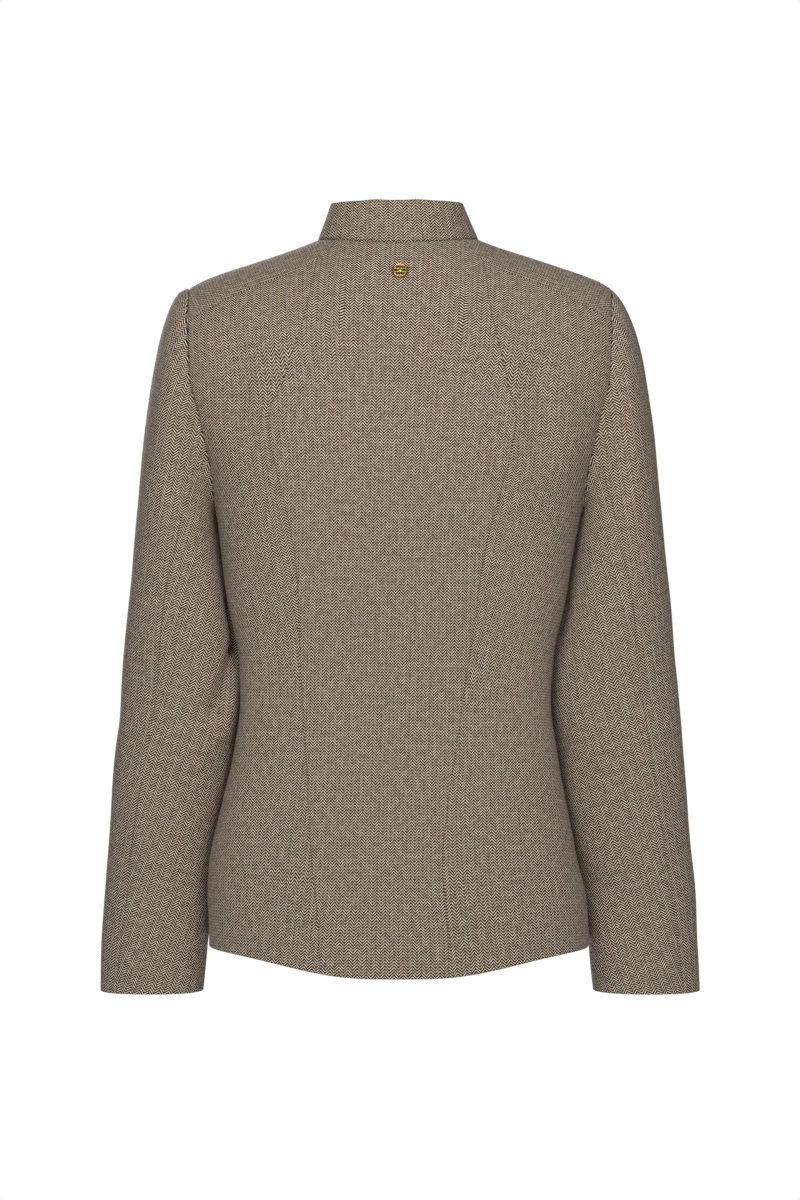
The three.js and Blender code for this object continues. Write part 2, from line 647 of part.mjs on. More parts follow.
// The inner edge of a sleeve at height z, moved out where it would come too close to the body's side
function innerEdge(side, z) {
  const listed = sleeve[`in${side}`](z);
  if (z < HEM_SIDE_Z - 6) return listed;
  const outer = sleeve[`out${side}`](z);
  const across = side === "L" ? body.middle(z) : -body.middle(z);
  let inner = listed;
  for (let pass = 0; pass < 3; pass += 1) {
    const half = (outer - inner) / 2;
    const needed = steps(24).map((share) => {
      const off = mix(-0.7, 0.7, share);
      const y = sleeve.middle(z) + off * sleeve.deep(z);
      const aft = y - body.aft(z);
      const depth = aft > 0 ? body.back(z) : body.front(z);
      const n = body.square(z);
      const bodySide = across + body.half(z) * (1 - Math.abs(aft / depth) ** n) ** (1 / n);
      const bulge = 1 - (1 - Math.abs(off) ** SLEEVE_SQUARE) ** (1 / SLEEVE_SQUARE);
      return bodySide + SLEEVE_CLEAR - half * bulge;
    });
    inner = Math.max(listed, ...needed);
  }
  return inner;
}

// A point of the sleeve's tube at turns round it and at height z
function tubePoint(side, turns, z) {
  const [outer, inner] = [sleeve[`out${side}`](z), innerEdge(side, z)];
  const [half, deep] = [(outer - inner) / 2, sleeve.deep(z)];
  const [c, s] = [Math.cos(turns * 2 * Math.PI), Math.sin(turns * 2 * Math.PI)];
  const reach = (Math.abs(c) ** SLEEVE_SQUARE + Math.abs(s) ** SLEEVE_SQUARE) ** (-1 / SLEEVE_SQUARE);
  return new THREE.Vector3((outer + inner) / 2 + half * reach * c, sleeve.middle(z) + deep * reach * s, z);
}

// A sleeve, drawn on the wearer's left; the right one has its own shape and is mirrored at the end
function sleeveGrid(side, sign) {
  const loop = armholeLoop();
  const count = loop.length;
  const seamZ = (row) => mix(SHOULDER_Z, UNDERARM_Z, Math.cos((row / ROWS_ARMHOLE) * 90 * DEGREE));
  const nearest = (z, behind) =>
    loop.reduce(
      (best, place, i) =>
        place.z !== undefined &&
        place.angle < 90 * DEGREE === behind &&
        Math.abs(place.z - z) < Math.abs((loop[best].z ?? 0) - z)
          ? i
          : best,
      count - 1,
    );
  const hindAt = nearest(seamZ(HIND_ROW), true);
  const foreAt = nearest(seamZ(FORE_ROW), false);
  const topCount = (hindAt - foreAt + count) % count;
  // turns round the tube of each column, spread evenly between the two seams
  const tubeTurns = (column, z) => {
    const past = (column - foreAt + count) % count;
    const [hind, fore] = [sleeve.hind(z), sleeve.fore(z)];
    if (past <= topCount) return fore + (1 + hind - fore) * smoothShare(past / topCount);
    return 1 + hind + ((fore - hind) * (past - topCount)) / (count - topCount);
  };
  // columns of the upper piece are closer together towards the outside of the arm, where they start
  const smoothShare = (share) => share;
  const tube = (column, z) => tubePoint(side, tubeTurns(column, z), z);
  const headColumn = (place, column) => {
    const edge = clothAt({ ...place, angle: sign * place.angle });
    const start = edge.point.setX(sign * edge.point.x);
    const bodyWay = edge.normal.setX(sign * edge.normal.x);
    const t = place.turns;
    const crown = Math.cos(t * Math.PI) ** 8;
    const way = new THREE.Vector3(head.out(t), head.back(t), head.up(t) + HEAD_LIFT[side] * crown).normalize();
    const end = tube(column, SLEEVE_TOP_Z);
    const upright = end.clone().sub(tube(column, SLEEVE_TOP_Z - 20)).normalize();
    const first = start.clone().addScaledVector(outOfEdge(loop, column), 1.5 * SEAM_GAP);
    const curveOut = new THREE.CubicBezierCurve3(
      first,
      first.clone().addScaledVector(way, head.reach(t) * fullness(t)),
      end.clone().addScaledVector(upright, head.drop(t)),
      end,
    );
    return { first, bodyWay, curveOut };
  };
  const fullness = (t) => mix(1, HEAD_FULLNESS[side], Math.cos(t * Math.PI) ** 2);
  const columnsOut = loop.map((place, column) => headColumn(place, column));
  const heights = steps(SLEEVE_ROWS).map((share) => mix(SLEEVE_TOP_Z, SLEEVE[0].z, share));
  const rows = [
    columnsOut.map(({ first }) => first),
    ...HEAD_ROWS.map((share) => columnsOut.map(({ curveOut }) => curveOut.getPoint(share))),
    ...heights.map((z) => loop.map((_, column) => tube(column, z))),
  ];
  const cells = facing(rows);
  cells[0].forEach((cell, column) => (cell.normal = columnsOut[column].bodyWay));
  foldSleeve(cells, side, (column, z) => tubeTurns(column, z));
  return { cells, foreAt, topCount, count };
}

// The way out of the body panel at a place of the armhole: along the cloth and square to the edge
function outOfEdge(loop, column) {
  const count = loop.length;
  const [next, last] = [loop[(column + 1) % count], loop[(column - 1 + count) % count]];
  const along = bodyPoint(next).sub(bodyPoint(last)).normalize();
  return along.cross(bodyNormal(loop[column])).normalize();
}

// The way each point of a tube of rows faces, from its neighbours
function facing(rows) {
  const count = rows[0].length;
  return rows.map((row, r) =>
    row.map((point, c) => {
      const down = rows[Math.min(r + 1, rows.length - 1)][c].clone().sub(rows[Math.max(r - 1, 0)][c]);
      const round = row[(c + 1) % count].clone().sub(row[(c - 1 + count) % count]);
      return { point: point.clone(), normal: down.cross(round).normalize() };
    }),
  );
}

function foldSleeve(cells, side, turnsAt) {
  const aroundMm = 300; // length of one turn round the sleeve
  const ends = (f) => [f.turns0 * aroundMm, f.z0, f.turns1 * aroundMm, f.z1];
  for (const row of cells.slice(HEAD_ROWS.length + 2)) {
    row.forEach((cell, column) => {
      const turns = turnsAt(column, cell.point.z) % 1;
      const depth = foldDepth(SLEEVE_FOLDS[side], turns * aroundMm, cell.point.z, ends);
      cell.point.addScaledVector(cell.normal, -depth);
    });
  }
}

// One piece of the sleeve: the columns from one seam to the other, trimmed at both
function sleevePiece(grid, sign, upper) {
  const { cells, foreAt, topCount, count } = grid;
  const start = upper ? foreAt : (foreAt + topCount) % count;
  const length = upper ? topCount : count - topCount;
  return cells.map((row) => {
    const strip = steps(length).map((_, i) => row[(start + i) % count]);
    const trimmed = (cell, next) => {
      const gap = cell.point.distanceTo(next.point);
      return { point: cell.point.clone().lerp(next.point, SEAM_GAP / 2 / gap), normal: cell.normal };
    };
    const [first, last] = [trimmed(strip[0], strip[1]), trimmed(strip[length], strip[length - 1])];
    const out = [first, ...strip.slice(1, -1), last];
    const mirror = ({ point, normal }) => ({
      point: point.clone().setX(sign * point.x),
      normal: normal.clone().setX(sign * normal.x),
    });
    return out.map(mirror);
  });
}

// A frame on the outer face of the cloth: Z out of it and Y up
function seat(geometry, place, lift) {
  const { point, normal } = clothAt(place, lift);
  const across = new THREE.Vector3(0, 0, 1).cross(normal).normalize();
  const up = normal.clone().cross(across);
  const frame = new THREE.Matrix4().makeBasis(across, up, normal).setPosition(point);
  return geometry.applyMatrix4(frame);
}

// A plain sew-through button with a raised rim, turned on a lathe and stood on its back
function button() {
  const { radius, thick, rim, dish } = BUTTON;
  const profile = [
    [0, 0],
    [radius * 0.8, 0],
    [radius * 0.96, thick * 0.25],
    [radius, thick * 0.55],
    [radius * 0.97, thick * 0.85],
    [radius - rim, thick],
    [radius - 2 * rim, thick - dish * 0.3],
    [radius - 3 * rim, thick - dish],
    [0, thick - dish],
  ];
  const shape = new THREE.LatheGeometry(
    profile.map(([r, h]) => new THREE.Vector2(r, h)),
    20,
  );
  return welded(shape.rotateX(90 * DEGREE));
}

function welded(geometry) {
  geometry.deleteAttribute("normal");
  geometry.deleteAttribute("uv");
  return mergeVertices(geometry, 1e-4);
}

function solidOf(geometry) {
  const merged = welded(geometry);
  const mesh = new wasm.Mesh({
    numProp: 3,
    vertProperties: new Float32Array(merged.attributes.position.array),
    triVerts: new Uint32Array(merged.index.array),
  });
  return new wasm.Manifold(mesh);
}

// A round pierced badge: a disc with a ring of petal holes, a raised rim and a boss in the middle
function badge() {
  const { radius, thick, rim, rise, boss } = BADGE;
  const holes = BADGE_HOLES;
  const circle = (r, x = 0, y = 0) => new THREE.Path().absarc(x, y, r, 0, 2 * Math.PI);
  const extrude = (shape, depth) =>
    new THREE.ExtrudeGeometry(shape, { depth, bevelEnabled: false, curveSegments: 12 });
  const disc = new THREE.Shape().absarc(0, 0, radius, 0, 2 * Math.PI);
  for (let i = 0; i < holes.count; i += 1) {
    const way = (i / holes.count) * 2 * Math.PI;
    disc.holes.push(circle(holes.radius, holes.ring * Math.cos(way), holes.ring * Math.sin(way)));
  }
  const band = new THREE.Shape().absarc(0, 0, radius, 0, 2 * Math.PI);
  band.holes.push(circle(radius - rim));
  const middle = new THREE.Shape().absarc(0, 0, boss, 0, 2 * Math.PI);
  const joined = solidOf(extrude(disc, thick))
    .add(solidOf(extrude(band, thick + rise)))
    .add(solidOf(extrude(middle, thick + rise)));
  const mesh = joined.getMesh();
  const geometry = new THREE.BufferGeometry();
  geometry.setAttribute("position", new THREE.Float32BufferAttribute(mesh.vertProperties, 3));
  geometry.setIndex([...mesh.triVerts]);
  return geometry;
}

const wool = new THREE.MeshStandardMaterial({ color: 0x84776a, roughness: 0.92, metalness: 0 });
const horn = new THREE.MeshStandardMaterial({ color: 0x3a2a20, roughness: 0.35, metalness: 0 });
const gold = new THREE.MeshStandardMaterial({ color: 0xc9a348, roughness: 0.3, metalness: 1 });

const blazer = new THREE.Group();
const add = (name, geometry, material) => {
  const mesh = new THREE.Mesh(geometry, material);
  mesh.name = name;
  blazer.add(mesh);
};

add("back_centre", wall(backCentre()), wool);
for (const [side, sign] of Object.entries({ left: 1, right: -1 })) {
  add(`back_side_${side}`, wall(backSide(sign)), wool);
  add(`front_side_${side}`, wall(frontSide(sign)), wool);
  add(`front_${side}`, wall(front(sign)), wool);
  add(`shoulder_strip_${side}`, wall(stripGrid(sign)), wool);
  const grid = sleeveGrid(side === "left" ? "L" : "R", sign);
  add(`sleeve_upper_${side}`, wall(sleevePiece(grid, sign, true)), wool);
  add(`sleeve_under_${side}`, wall(sleevePiece(grid, sign, false)), wool);
}
add("collar", wall(collarGrid(), COLLAR_CLOTH), wool);

const badgeTurn = Math.asin((BADGE.z - SHOULDER_Z) / (RIDGE[0].z - SHOULDER_Z));
add("badge", seat(badge(), { angle: 0, turn: badgeTurn }, SEAM_GAP), gold);
BUTTON_HEIGHTS.forEach((z, i) => {
  const above = z > SHOULDER_Z;
  const turn = Math.asin(Math.max(0, (z - SHOULDER_Z) / (RIDGE[0].z - SHOULDER_Z)));
  const place = above ? { angle: Math.PI, turn } : { angle: Math.PI + body.twist(z), z };
  add(`button_${i + 1}`, seat(button(), place, LAP_LIFT + BUTTON.shank), horn);
});

export default blazer;
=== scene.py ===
import bpy
import numpy as np
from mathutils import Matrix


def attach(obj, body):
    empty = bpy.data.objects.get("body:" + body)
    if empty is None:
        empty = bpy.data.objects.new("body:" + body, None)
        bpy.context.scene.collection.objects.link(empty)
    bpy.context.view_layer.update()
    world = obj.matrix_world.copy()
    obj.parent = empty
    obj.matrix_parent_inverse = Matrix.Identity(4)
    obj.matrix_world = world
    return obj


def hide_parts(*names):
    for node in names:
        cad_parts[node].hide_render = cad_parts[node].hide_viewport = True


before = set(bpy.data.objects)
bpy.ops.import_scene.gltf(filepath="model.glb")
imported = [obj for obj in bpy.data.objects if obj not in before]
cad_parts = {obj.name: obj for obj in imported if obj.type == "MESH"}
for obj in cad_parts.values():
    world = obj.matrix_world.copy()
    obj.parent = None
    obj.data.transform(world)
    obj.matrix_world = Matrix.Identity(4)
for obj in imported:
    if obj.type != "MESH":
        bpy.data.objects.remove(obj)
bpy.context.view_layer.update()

DEGREE = np.pi / 180
MM = 0.001

# Cloth, heights, neck, armholes and front, as in the solids
CLOTH = 2
COLLAR_CLOTH = 2.6
SEAM_GAP = 0.3
SHOULDER_Z = -120
UNDERARM_Z = -236
HEM_SIDE_Z = -616.6
HEM_BACK_Z = -635
HEM_FRONT_Z = -628
NECK_HALF = 71
NECK_SHIFT = 1.6
NECK_BACK = 64
NECK_FRONT = 77
STAND_BACK = 37
STAND_SIDE = 31.8
STAND_FRONT = 30
STAND_LEAN_SIDE = 13
STAND_LEAN_END = 7
STAND_LEAN_LEFT = 1.2
STAND_CORNER = 12
STAND_HALF_GAP = 1.2
STRIP_FORWARD = 27
ARMHOLE_BACK_X = 181
ARMHOLE_FRONT_X = 168
ARMHOLE_TOP_X = 185
LAP = 18
LAP_LIFT = CLOTH + 1
LAP_RAMP_FROM = 52
LAP_RAMP_TO = 28
FRONT_CORNER = 26
BUTTON_HEIGHTS = [-84, -198, -312, -426]
BUTTON_SHANK = 0.7
BADGE_Z = -32
SLEEVE_CLEAR = 0.1
SLEEVE_SQUARE = 2.15
HEAD_FULLNESS = {"L": 0.66, "R": 0.88}
HEAD_LIFT = {"L": 0.9, "R": 0}
# The pieces as sewn: their edges all but touch, and the collar's foot goes just behind the neck edge
TRIM = 0.02
COLLAR_TUCK = 0.1

# z, half, middle, aft, back, front, square, twist
BODY = np.array([
    [-660, 166, 0.8, 10, 109, 128, 2.3, 0.1],
    [-615, 166.5, 0.9, 10, 106, 126, 2.3, 0.105],
    [-578, 166, 2.6, 10, 102, 125, 2.3, 0.11],
    [-534, 159.8, 6, 10, 94.5, 121, 2.3, 0.12],
    [-490, 150.5, 5, 10, 84, 117, 2.3, 0.125],
    [-450, 142.5, 4, 10, 74, 112, 2.3, 0.12],
    [-402, 136.3, 3.6, 10, 67, 108, 2.3, 0.105],
    [-367, 137.7, 3.2, 10, 68.5, 111, 2.3, 0.09],
    [-314, 148.3, 3, 9, 77, 123, 2.3, 0.06],
    [-261, 156.2, 2.2, 6, 88, 132, 2.4, 0.05],
    [-236, 160.4, 1.3, 4, 93.5, 133, 2.5, 0.048],
    [-200, 170, 0.5, 1, 99.5, 124, 2.7, 0.045],
    [-160, 184, 0, 0, 102, 104, 2.9, 0.04],
    [-120, 198, 0, 0, 101, 89, 3, 0.02],
    [-80, 198, 0, 0, 101, 89, 3, 0],
])
RIDGE = np.array([
    [0, 27.4], [16, 26.2], [40, 17.2], [74, 1], [120, -15.2], [171, -32.6], [185, -40], [198, -48],
])
STRIP_BACK = np.array([
    [50, 0.945], [56, 0.914], [63, 0.85], [78, 0.805], [104, 0.762], [130, 0.729], [184, 0.584],
])
BACK_SEAM = np.array([
    [-650, 54.5], [-554, 55], [-485, 59.5], [-417, 67], [-348, 74], [-280, 80.5], [-220, 94],
    [-190, 101.5], [-157, 106], [-131, 97], [-96, 87], [-66, 79.5], [-20, 72],
])
FRONT_SEAM = np.array([
    [-650, 88], [-500, 76], [-400, 68], [-320, 78], [-240, 90], [-160, 96], [-40, 98],
])
# z, outL, inL, outR, inR, middle, deep, hind, fore
SLEEVE = np.array([
    [-661, 266.5, 175, 266.8, 171.6, -33, 38, 0.14, 0.63],
    [-634, 265.5, 172.4, 265.4, 168.6, -30, 39, 0.146, 0.63],
    [-615, 264.6, 170.4, 264.2, 166.8, -28, 40, 0.15, 0.63],
    [-578, 262, 164, 262.3, 160, -26, 42, 0.158, 0.635],
    [-534, 258.4, 155, 258, 150, -24, 45, 0.165, 0.64],
    [-490, 255.6, 145, 254.8, 140, -22, 48, 0.172, 0.645],
    [-455, 252.8, 138, 252, 132, -21, 50, 0.178, 0.65],
    [-402, 247.2, 134, 247.8, 126, -20, 52, 0.187, 0.655],
    [-367, 244.8, 136, 243.4, 130, -19, 54, 0.195, 0.66],
    [-314, 239.8, 146, 239, 140, -17, 57, 0.215, 0.665],
    [-262, 234.4, 155, 233.3, 152, -11, 59, 0.262, 0.67],
])
SLEEVE_TOP_Z = SLEEVE[-1, 0]
# turns, out, back, up, reach, drop
HEAD = np.array([
    [0, 0.8, 0, -0.6, 42, 108],
    [0.12, 0.86, 0.22, -0.46, 33, 92],
    [0.25, 0.93, 0.2, -0.3, 24, 62],
    [0.4, 0.95, 0.05, -0.05, 8, 28],
    [0.5, 0.2, 0, -0.9, 4, 24],
    [0.6, 0.95, -0.05, -0.05, 8, 28],
    [0.75, 0.93, -0.2, -0.3, 24, 62],
    [0.88, 0.86, -0.22, -0.46, 33, 92],
    [1, 0.8, 0, -0.6, 42, 108],
])

# Folds of the body, troughs or (negative) ridges: x0, z0, x1, z1, wide, deep
BACK_FOLDS = [
    (-114, -122, -123, -182, 12, 3.2),
    (-140, -130, -141, -196, 14, -2.2),
    (50, -118, 47, -190, 15, 1.4),
    (-17, -130, -19, -330, 17, 1.5),
    (142, -100, 140, -165, 13, 2),
    (-50, -480, -18, -596, 17, 2.2),
]
FINE_BACK_FOLDS = [
    (18, -190, 17, -275, 11, -0.8),
    (52, -150, 55, -215, 8, 0.6),
    (-66, -150, -70, -250, 12, -0.7),
    (-60, -452, 50, -456, 12, -0.9),
    (-58, -415, 56, -420, 10, 0.5),
    (-120, -392, -76, -404, 9, 0.7),
    (122, -390, 80, -408, 9, 0.8),
    (-132, -250, -108, -300, 10, -0.7),
    (136, -240, 112, -290, 11, -0.8),
    (-20, -500, -4, -612, 12, -0.9),
    (64, -520, 78, -606, 13, 0.8),
    (-112, -520, -118, -606, 14, 0.8),
]
FRONT_FOLDS = [
    (-120, -110, -112, -176, 13, 2.2),
    (118, -112, 110, -180, 13, 2.4),
    (-60, -300, 40, -330, 14, 0.9),
    (60, -398, 12, -420, 12, 1.1),
    (-62, -404, -20, -424, 12, 0.9),
    (-96, -500, -104, -604, 16, 1.3),
    (70, -510, 82, -606, 16, 1.5),
]
# Folds of the sleeves: turns0, z0, turns1, z1, wide, deep
SLEEVE_FOLDS = {
    "L": [
        (0.458, -320, 0.445, -356, 6, 9), (0.42, -362, 0.345, -410, 9, 6), (0.36, -290, 0.35, -340, 18, -2.4),
        (0.43, -372, 0.38, -428, 12, -2.6), (0.36, -430, 0.3, -455, 18, -1.8), (0.2, -560, 0.36, -610, 18, 2.4),
    ],
    "R": [
        (0.5, -440, 0.32, -468, 24, 2.4), (0.46, -330, 0.36, -362, 22, 1.6),
        (0.4, -560, 0.24, -606, 20, 2.6),
    ],
}
FINE_SLEEVE_FOLDS = {
    "L": [
        (0.16, -388, 0.3, -372, 9, 0.9), (0.2, -478, 0.36, -462, 11, 0.9),
        (0.14, -612, 0.26, -640, 8, 0.8), (0.24, -596, 0.36, -630, 8, -0.7),
        (0.62, -392, 0.74, -372, 12, 1.6), (0.64, -428, 0.78, -404, 12, -1.1),
        (0.9, -380, 1.02, -420, 14, 0.7), (0.82, -600, 0.96, -636, 10, 0.8),
    ],
    "R": [
        (0.18, -402, 0.34, -384, 9, 0.8), (0.16, -500, 0.32, -482, 12, 0.8),
        (0.16, -618, 0.3, -644, 9, 0.8), (0.62, -396, 0.74, -374, 12, 1.6),
        (0.64, -432, 0.78, -408, 12, -1.1), (0.92, -372, 1.04, -410, 14, 0.7),
        (0.84, -604, 0.96, -638, 10, 0.8),
    ],
}


def curve(rows, to):
    """A smooth curve through two columns of a table, without overshoot."""
    xs, ys = rows[:, 0].astype(float), rows[:, to].astype(float)
    rise = np.diff(ys) / np.diff(xs)
    a, b = np.r_[rise[0], rise], np.r_[rise, rise[-1]]
    slope = np.where(a * b > 0, 2 * a * b / np.where(a + b == 0, 1, a + b), 0)

    def at(x):
        x = np.asarray(x, float)
        i = np.clip(np.searchsorted(xs, x, side="right") - 1, 0, len(xs) - 2)
        span = xs[i + 1] - xs[i]
        t = np.clip((x - xs[i]) / span, 0, 1)
        hermite = t * t * (3 - 2 * t)
        bend = t * (1 - t) * span * ((1 - t) * slope[i] - t * slope[i + 1])
        return ys[i] + (ys[i + 1] - ys[i]) * hermite + bend

    return at


def mix(a, b, t):
    return a + (b - a) * t


def smooth(t):
    t = np.clip(t, 0, 1)
    return t * t * (3 - 2 * t)


def unit(v):
    return v / np.maximum(np.linalg.norm(v, axis=-1, keepdims=True), 1e-12)


def vector(x, y, z):
    return np.stack(np.broadcast_arrays(x, y, z), axis=-1).astype(float)


HALF, MIDDLE, AFT, BACK, FRONT, SQUARE, TWIST = (curve(BODY, i) for i in range(1, 8))
ridge = curve(RIDGE, 1)
strip_share = curve(STRIP_BACK, 1)
back_seam = curve(BACK_SEAM, 1)
front_seam = curve(FRONT_SEAM, 1)
OUT = {"L": curve(SLEEVE, 1), "R": curve(SLEEVE, 3)}
INNER = {"L": curve(SLEEVE, 2), "R": curve(SLEEVE, 4)}
TUBE_MIDDLE, DEEP, HIND, FORE = (curve(SLEEVE, i) for i in range(5, 9))
HEAD_OUT, HEAD_BACK, HEAD_UP, REACH, DROP = (curve(HEAD, i) for i in range(1, 6))


def ring(angle, z):
    side, aft = np.sin(angle), np.cos(angle)
    depth = np.where(aft >= 0, BACK(z), FRONT(z))
    n = SQUARE(z)
    reach = (np.abs(side / HALF(z)) ** n + np.abs(aft / depth) ** n) ** (-1 / n)
    return vector(MIDDLE(z) + reach * side, AFT(z) + reach * aft, z)


def depth_at(x, z, behind):
    n = SQUARE(z)
    share = np.minimum(1, np.abs(x) / HALF(z))
    return (BACK(z) if behind else FRONT(z)) * (1 - share**n) ** (1 / n)


def angle_at(x, z, behind):
    return np.arctan2(x, (1 if behind else -1) * depth_at(x, z, behind))


def body_point(angle, z, turn):
    """Below SHOULDER_Z turn is 0; above it z is SHOULDER_Z and turn goes up to 90 degrees."""
    foot = ring(angle, z)
    x = foot[..., 0]
    rise = ridge(np.abs(x - NECK_SHIFT * (1 - smooth(np.abs(x) / 150)))) - SHOULDER_Z
    return vector(x, foot[..., 1] * np.cos(turn), foot[..., 2] + rise * np.sin(turn))


def body_normal(angle, z, turn):
    up = turn > 0
    dz, dt = np.where(up, 0, 1.0), np.where(up, 0.01, 0)
    along = body_point(angle, z + dz, turn + dt) - body_point(angle, z - dz, turn - dt)
    across = body_point(angle + 0.01, z, turn) - body_point(angle - 0.01, z, turn)
    return unit(np.cross(along, across))


def fold_depth(folds, a, b):
    total = np.zeros(np.broadcast(a, b).shape)
    for a0, b0, a1, b1, wide, deep in folds:
        da, db = a1 - a0, b1 - b0
        held = np.clip(((a - a0) * da + (b - b0) * db) / (da * da + db * db), 0, 1)
        off = np.hypot(a - a0 - held * da, b - b0 - held * db)
        total = total + deep * np.exp(-((off / wide) ** 2))
    return total


# Slight unevenness of pressed wool: waves in all directions, the same wherever two pieces meet
WAVES = np.random.default_rng(7)
WAVE_WAYS = unit(WAVES.normal(size=(16, 3))) * (2 * np.pi / WAVES.uniform(38, 150, size=(16, 1)))
WAVE_STARTS = WAVES.uniform(0, 2 * np.pi, 16)


def unevenness(points):
    return np.sin(points @ WAVE_WAYS.T + WAVE_STARTS).sum(-1) * 0.085


def cloth_at(angle, z, turn, lift=0.0):
    point = body_point(angle, z, turn)
    normal = body_normal(angle, z, turn)
    x, y, height = point[..., 0], point[..., 1], point[..., 2]
    behind = fold_depth(BACK_FOLDS + FINE_BACK_FOLDS, x, height)
    before = fold_depth(FRONT_FOLDS, x, height)
    depth = behind * smooth((y + 6) / 12) + before * smooth((6 - y) / 12) + unevenness(point)
    return point + normal * (lift - depth)[..., None], normal


def neck_turn(x, behind):
    share = np.minimum(1, np.abs(x - NECK_SHIFT) / NECK_HALF)
    across = (NECK_BACK if behind else NECK_FRONT) * np.sqrt(1 - share * share)
    return np.arccos(np.minimum(1, across / depth_at(x, SHOULDER_Z, behind)))


def strip_back_turn(x):
    return np.arcsin(strip_share(np.abs(x)))


def strip_front_turn(x):
    return np.arccos(np.minimum(1, STRIP_FORWARD / depth_at(x, SHOULDER_Z, False)))


def back_top(x):
    return np.minimum(neck_turn(x, True), strip_back_turn(x))


def front_top(x):
    return np.minimum(neck_turn(x, False), strip_front_turn(x))


def strip_corner(sign, behind):
    seam_turn = strip_back_turn if behind else strip_front_turn
    near, far = 30.0, NECK_HALF - 3.0
    for _ in range(40):
        x = (near + far) / 2
        if neck_turn(sign * x, behind) < seam_turn(x):
            near = x
        else:
            far = x
    return sign * near


def armhole_x(turn, behind):
    return mix(ARMHOLE_BACK_X if behind else ARMHOLE_FRONT_X, ARMHOLE_TOP_X, np.sin(turn))


def armhole_foot(share, behind, top):
    x = armhole_x(0.0, behind) + np.zeros_like(share)
    for _ in range(6):
        x = armhole_x(top(x) * share, behind)
    return x


def hem(angle, edge_x, x):
    aft = np.cos(angle)
    level = mix(HEM_SIDE_Z, np.where(aft > 0, HEM_BACK_Z, HEM_FRONT_Z), smooth(np.abs(aft) ** 1.9))
    if edge_x is None:
        return level
    inset = np.maximum(0, FRONT_CORNER - np.abs(edge_x - x))
    return level + FRONT_CORNER - np.sqrt(np.maximum(0, FRONT_CORNER**2 - inset**2))


# Edges of the body panels: the angle at a height, or above SHOULDER_Z at a share of the panel's turn
class SeamEdge:
    def __init__(self, seam, sign, behind):
        self.seam, self.sign, self.behind = seam, sign if behind else -sign, behind
        self.top = back_top if behind else front_top
        self.start = 0 if behind else np.pi

    def low(self, z):
        half = self.seam(z)
        return self.start + TWIST(z) + self.sign * np.arctan2(half, depth_at(half, z, self.behind))

    def high(self, share):
        x = self.seam(SHOULDER_Z) + np.zeros_like(share)
        for _ in range(6):
            x = self.seam(SHOULDER_Z + (ridge(x) - SHOULDER_Z) * np.sin(self.top(x) * share))
        base = np.arctan2(x, depth_at(x, SHOULDER_Z, self.behind))
        return self.start + TWIST(SHOULDER_Z) * (1 - share) + self.sign * base


class SideEdge:
    def __init__(self, sign, behind, shift=0.0):
        self.sign, self.behind, self.shift = sign, behind, shift
        self.top = strip_back_turn if behind else strip_front_turn
        self.foot = abs(angle_at(armhole_x(0.0, behind), SHOULDER_Z, behind))

    def low(self, z):
        fall = np.clip((SHOULDER_Z - z) / (SHOULDER_Z - UNDERARM_Z), 0, 1)
        return self.sign * mix(np.pi / 2, self.foot, np.sqrt(1 - fall * fall)) + self.shift

    def high(self, share):
        x = armhole_foot(share, self.behind, self.top)
        return self.sign * angle_at(x, SHOULDER_Z, self.behind) + self.shift


class LapEdge:
    def __init__(self, sign):
        self.sign = sign

    def low(self, z):
        return np.pi + TWIST(z) - self.sign * np.arctan2(LAP, depth_at(LAP, z, False))

    def high(self, share):
        base = np.arctan2(LAP, depth_at(LAP, SHOULDER_Z, False))
        return np.pi + TWIST(SHOULDER_Z) * (1 - share) - self.sign * base


# Distances from an edge at which the grid is drawn closer together: at a sewn seam, whose edges turn
# down into the seam, and at a folded edge, which is round. An armhole seam is less flat than the others.
NEAR = {"seam": [0, 0.4, 0.9, 1.6, 2.6], "fold": [0, 0.1, 0.35, 0.7, 1.1, 2]}
NEAR["armhole"] = NEAR["seam"]
SEAM_DROP = {"seam": [0.34, 0.19, 0.09, 0.03, 0], "armhole": [1.15, 0.8, 0.5, 0.22, 0]}
SEAM_SHADE = {"seam": (0.9, 0.26), "armhole": (1.7, 0.6)}


def ticks(length, knots, counts, left, right, trim=0.0):
    """Shares along a line of that length: even steps between the knots, closer together at both ends."""
    length = np.asarray(length, float)[..., None]
    parts = []
    for i, count in enumerate(counts):
        low, high = knots[i] + 0 * length, knots[i + 1] + 0 * length
        steps = np.linspace(0, 1, count + 1)[None, :] + 0 * length
        if i == 0:
            low = (NEAR[left][-1] + trim) / length
            parts.append((np.array(NEAR[left][:-1]) + trim) / length)
        if i == len(counts) - 1:
            high = 1 - (NEAR[right][-1] + trim) / length
        line = low + (high - low) * steps
        parts.append(line if i == len(counts) - 1 else line[..., :-1])
    parts.append(1 - (np.array(NEAR[right][:-1])[::-1] + trim) / length)
    return np.concatenate(parts, axis=-1)


def arc(points, axis):
    """Length along the grid's lines from their start."""
    step = np.linalg.norm(np.diff(points, axis=axis), axis=-1)
    zero = np.zeros_like(np.take(step, [0], axis=axis))
    return np.concatenate([zero, np.cumsum(step, axis=axis)], axis=axis)


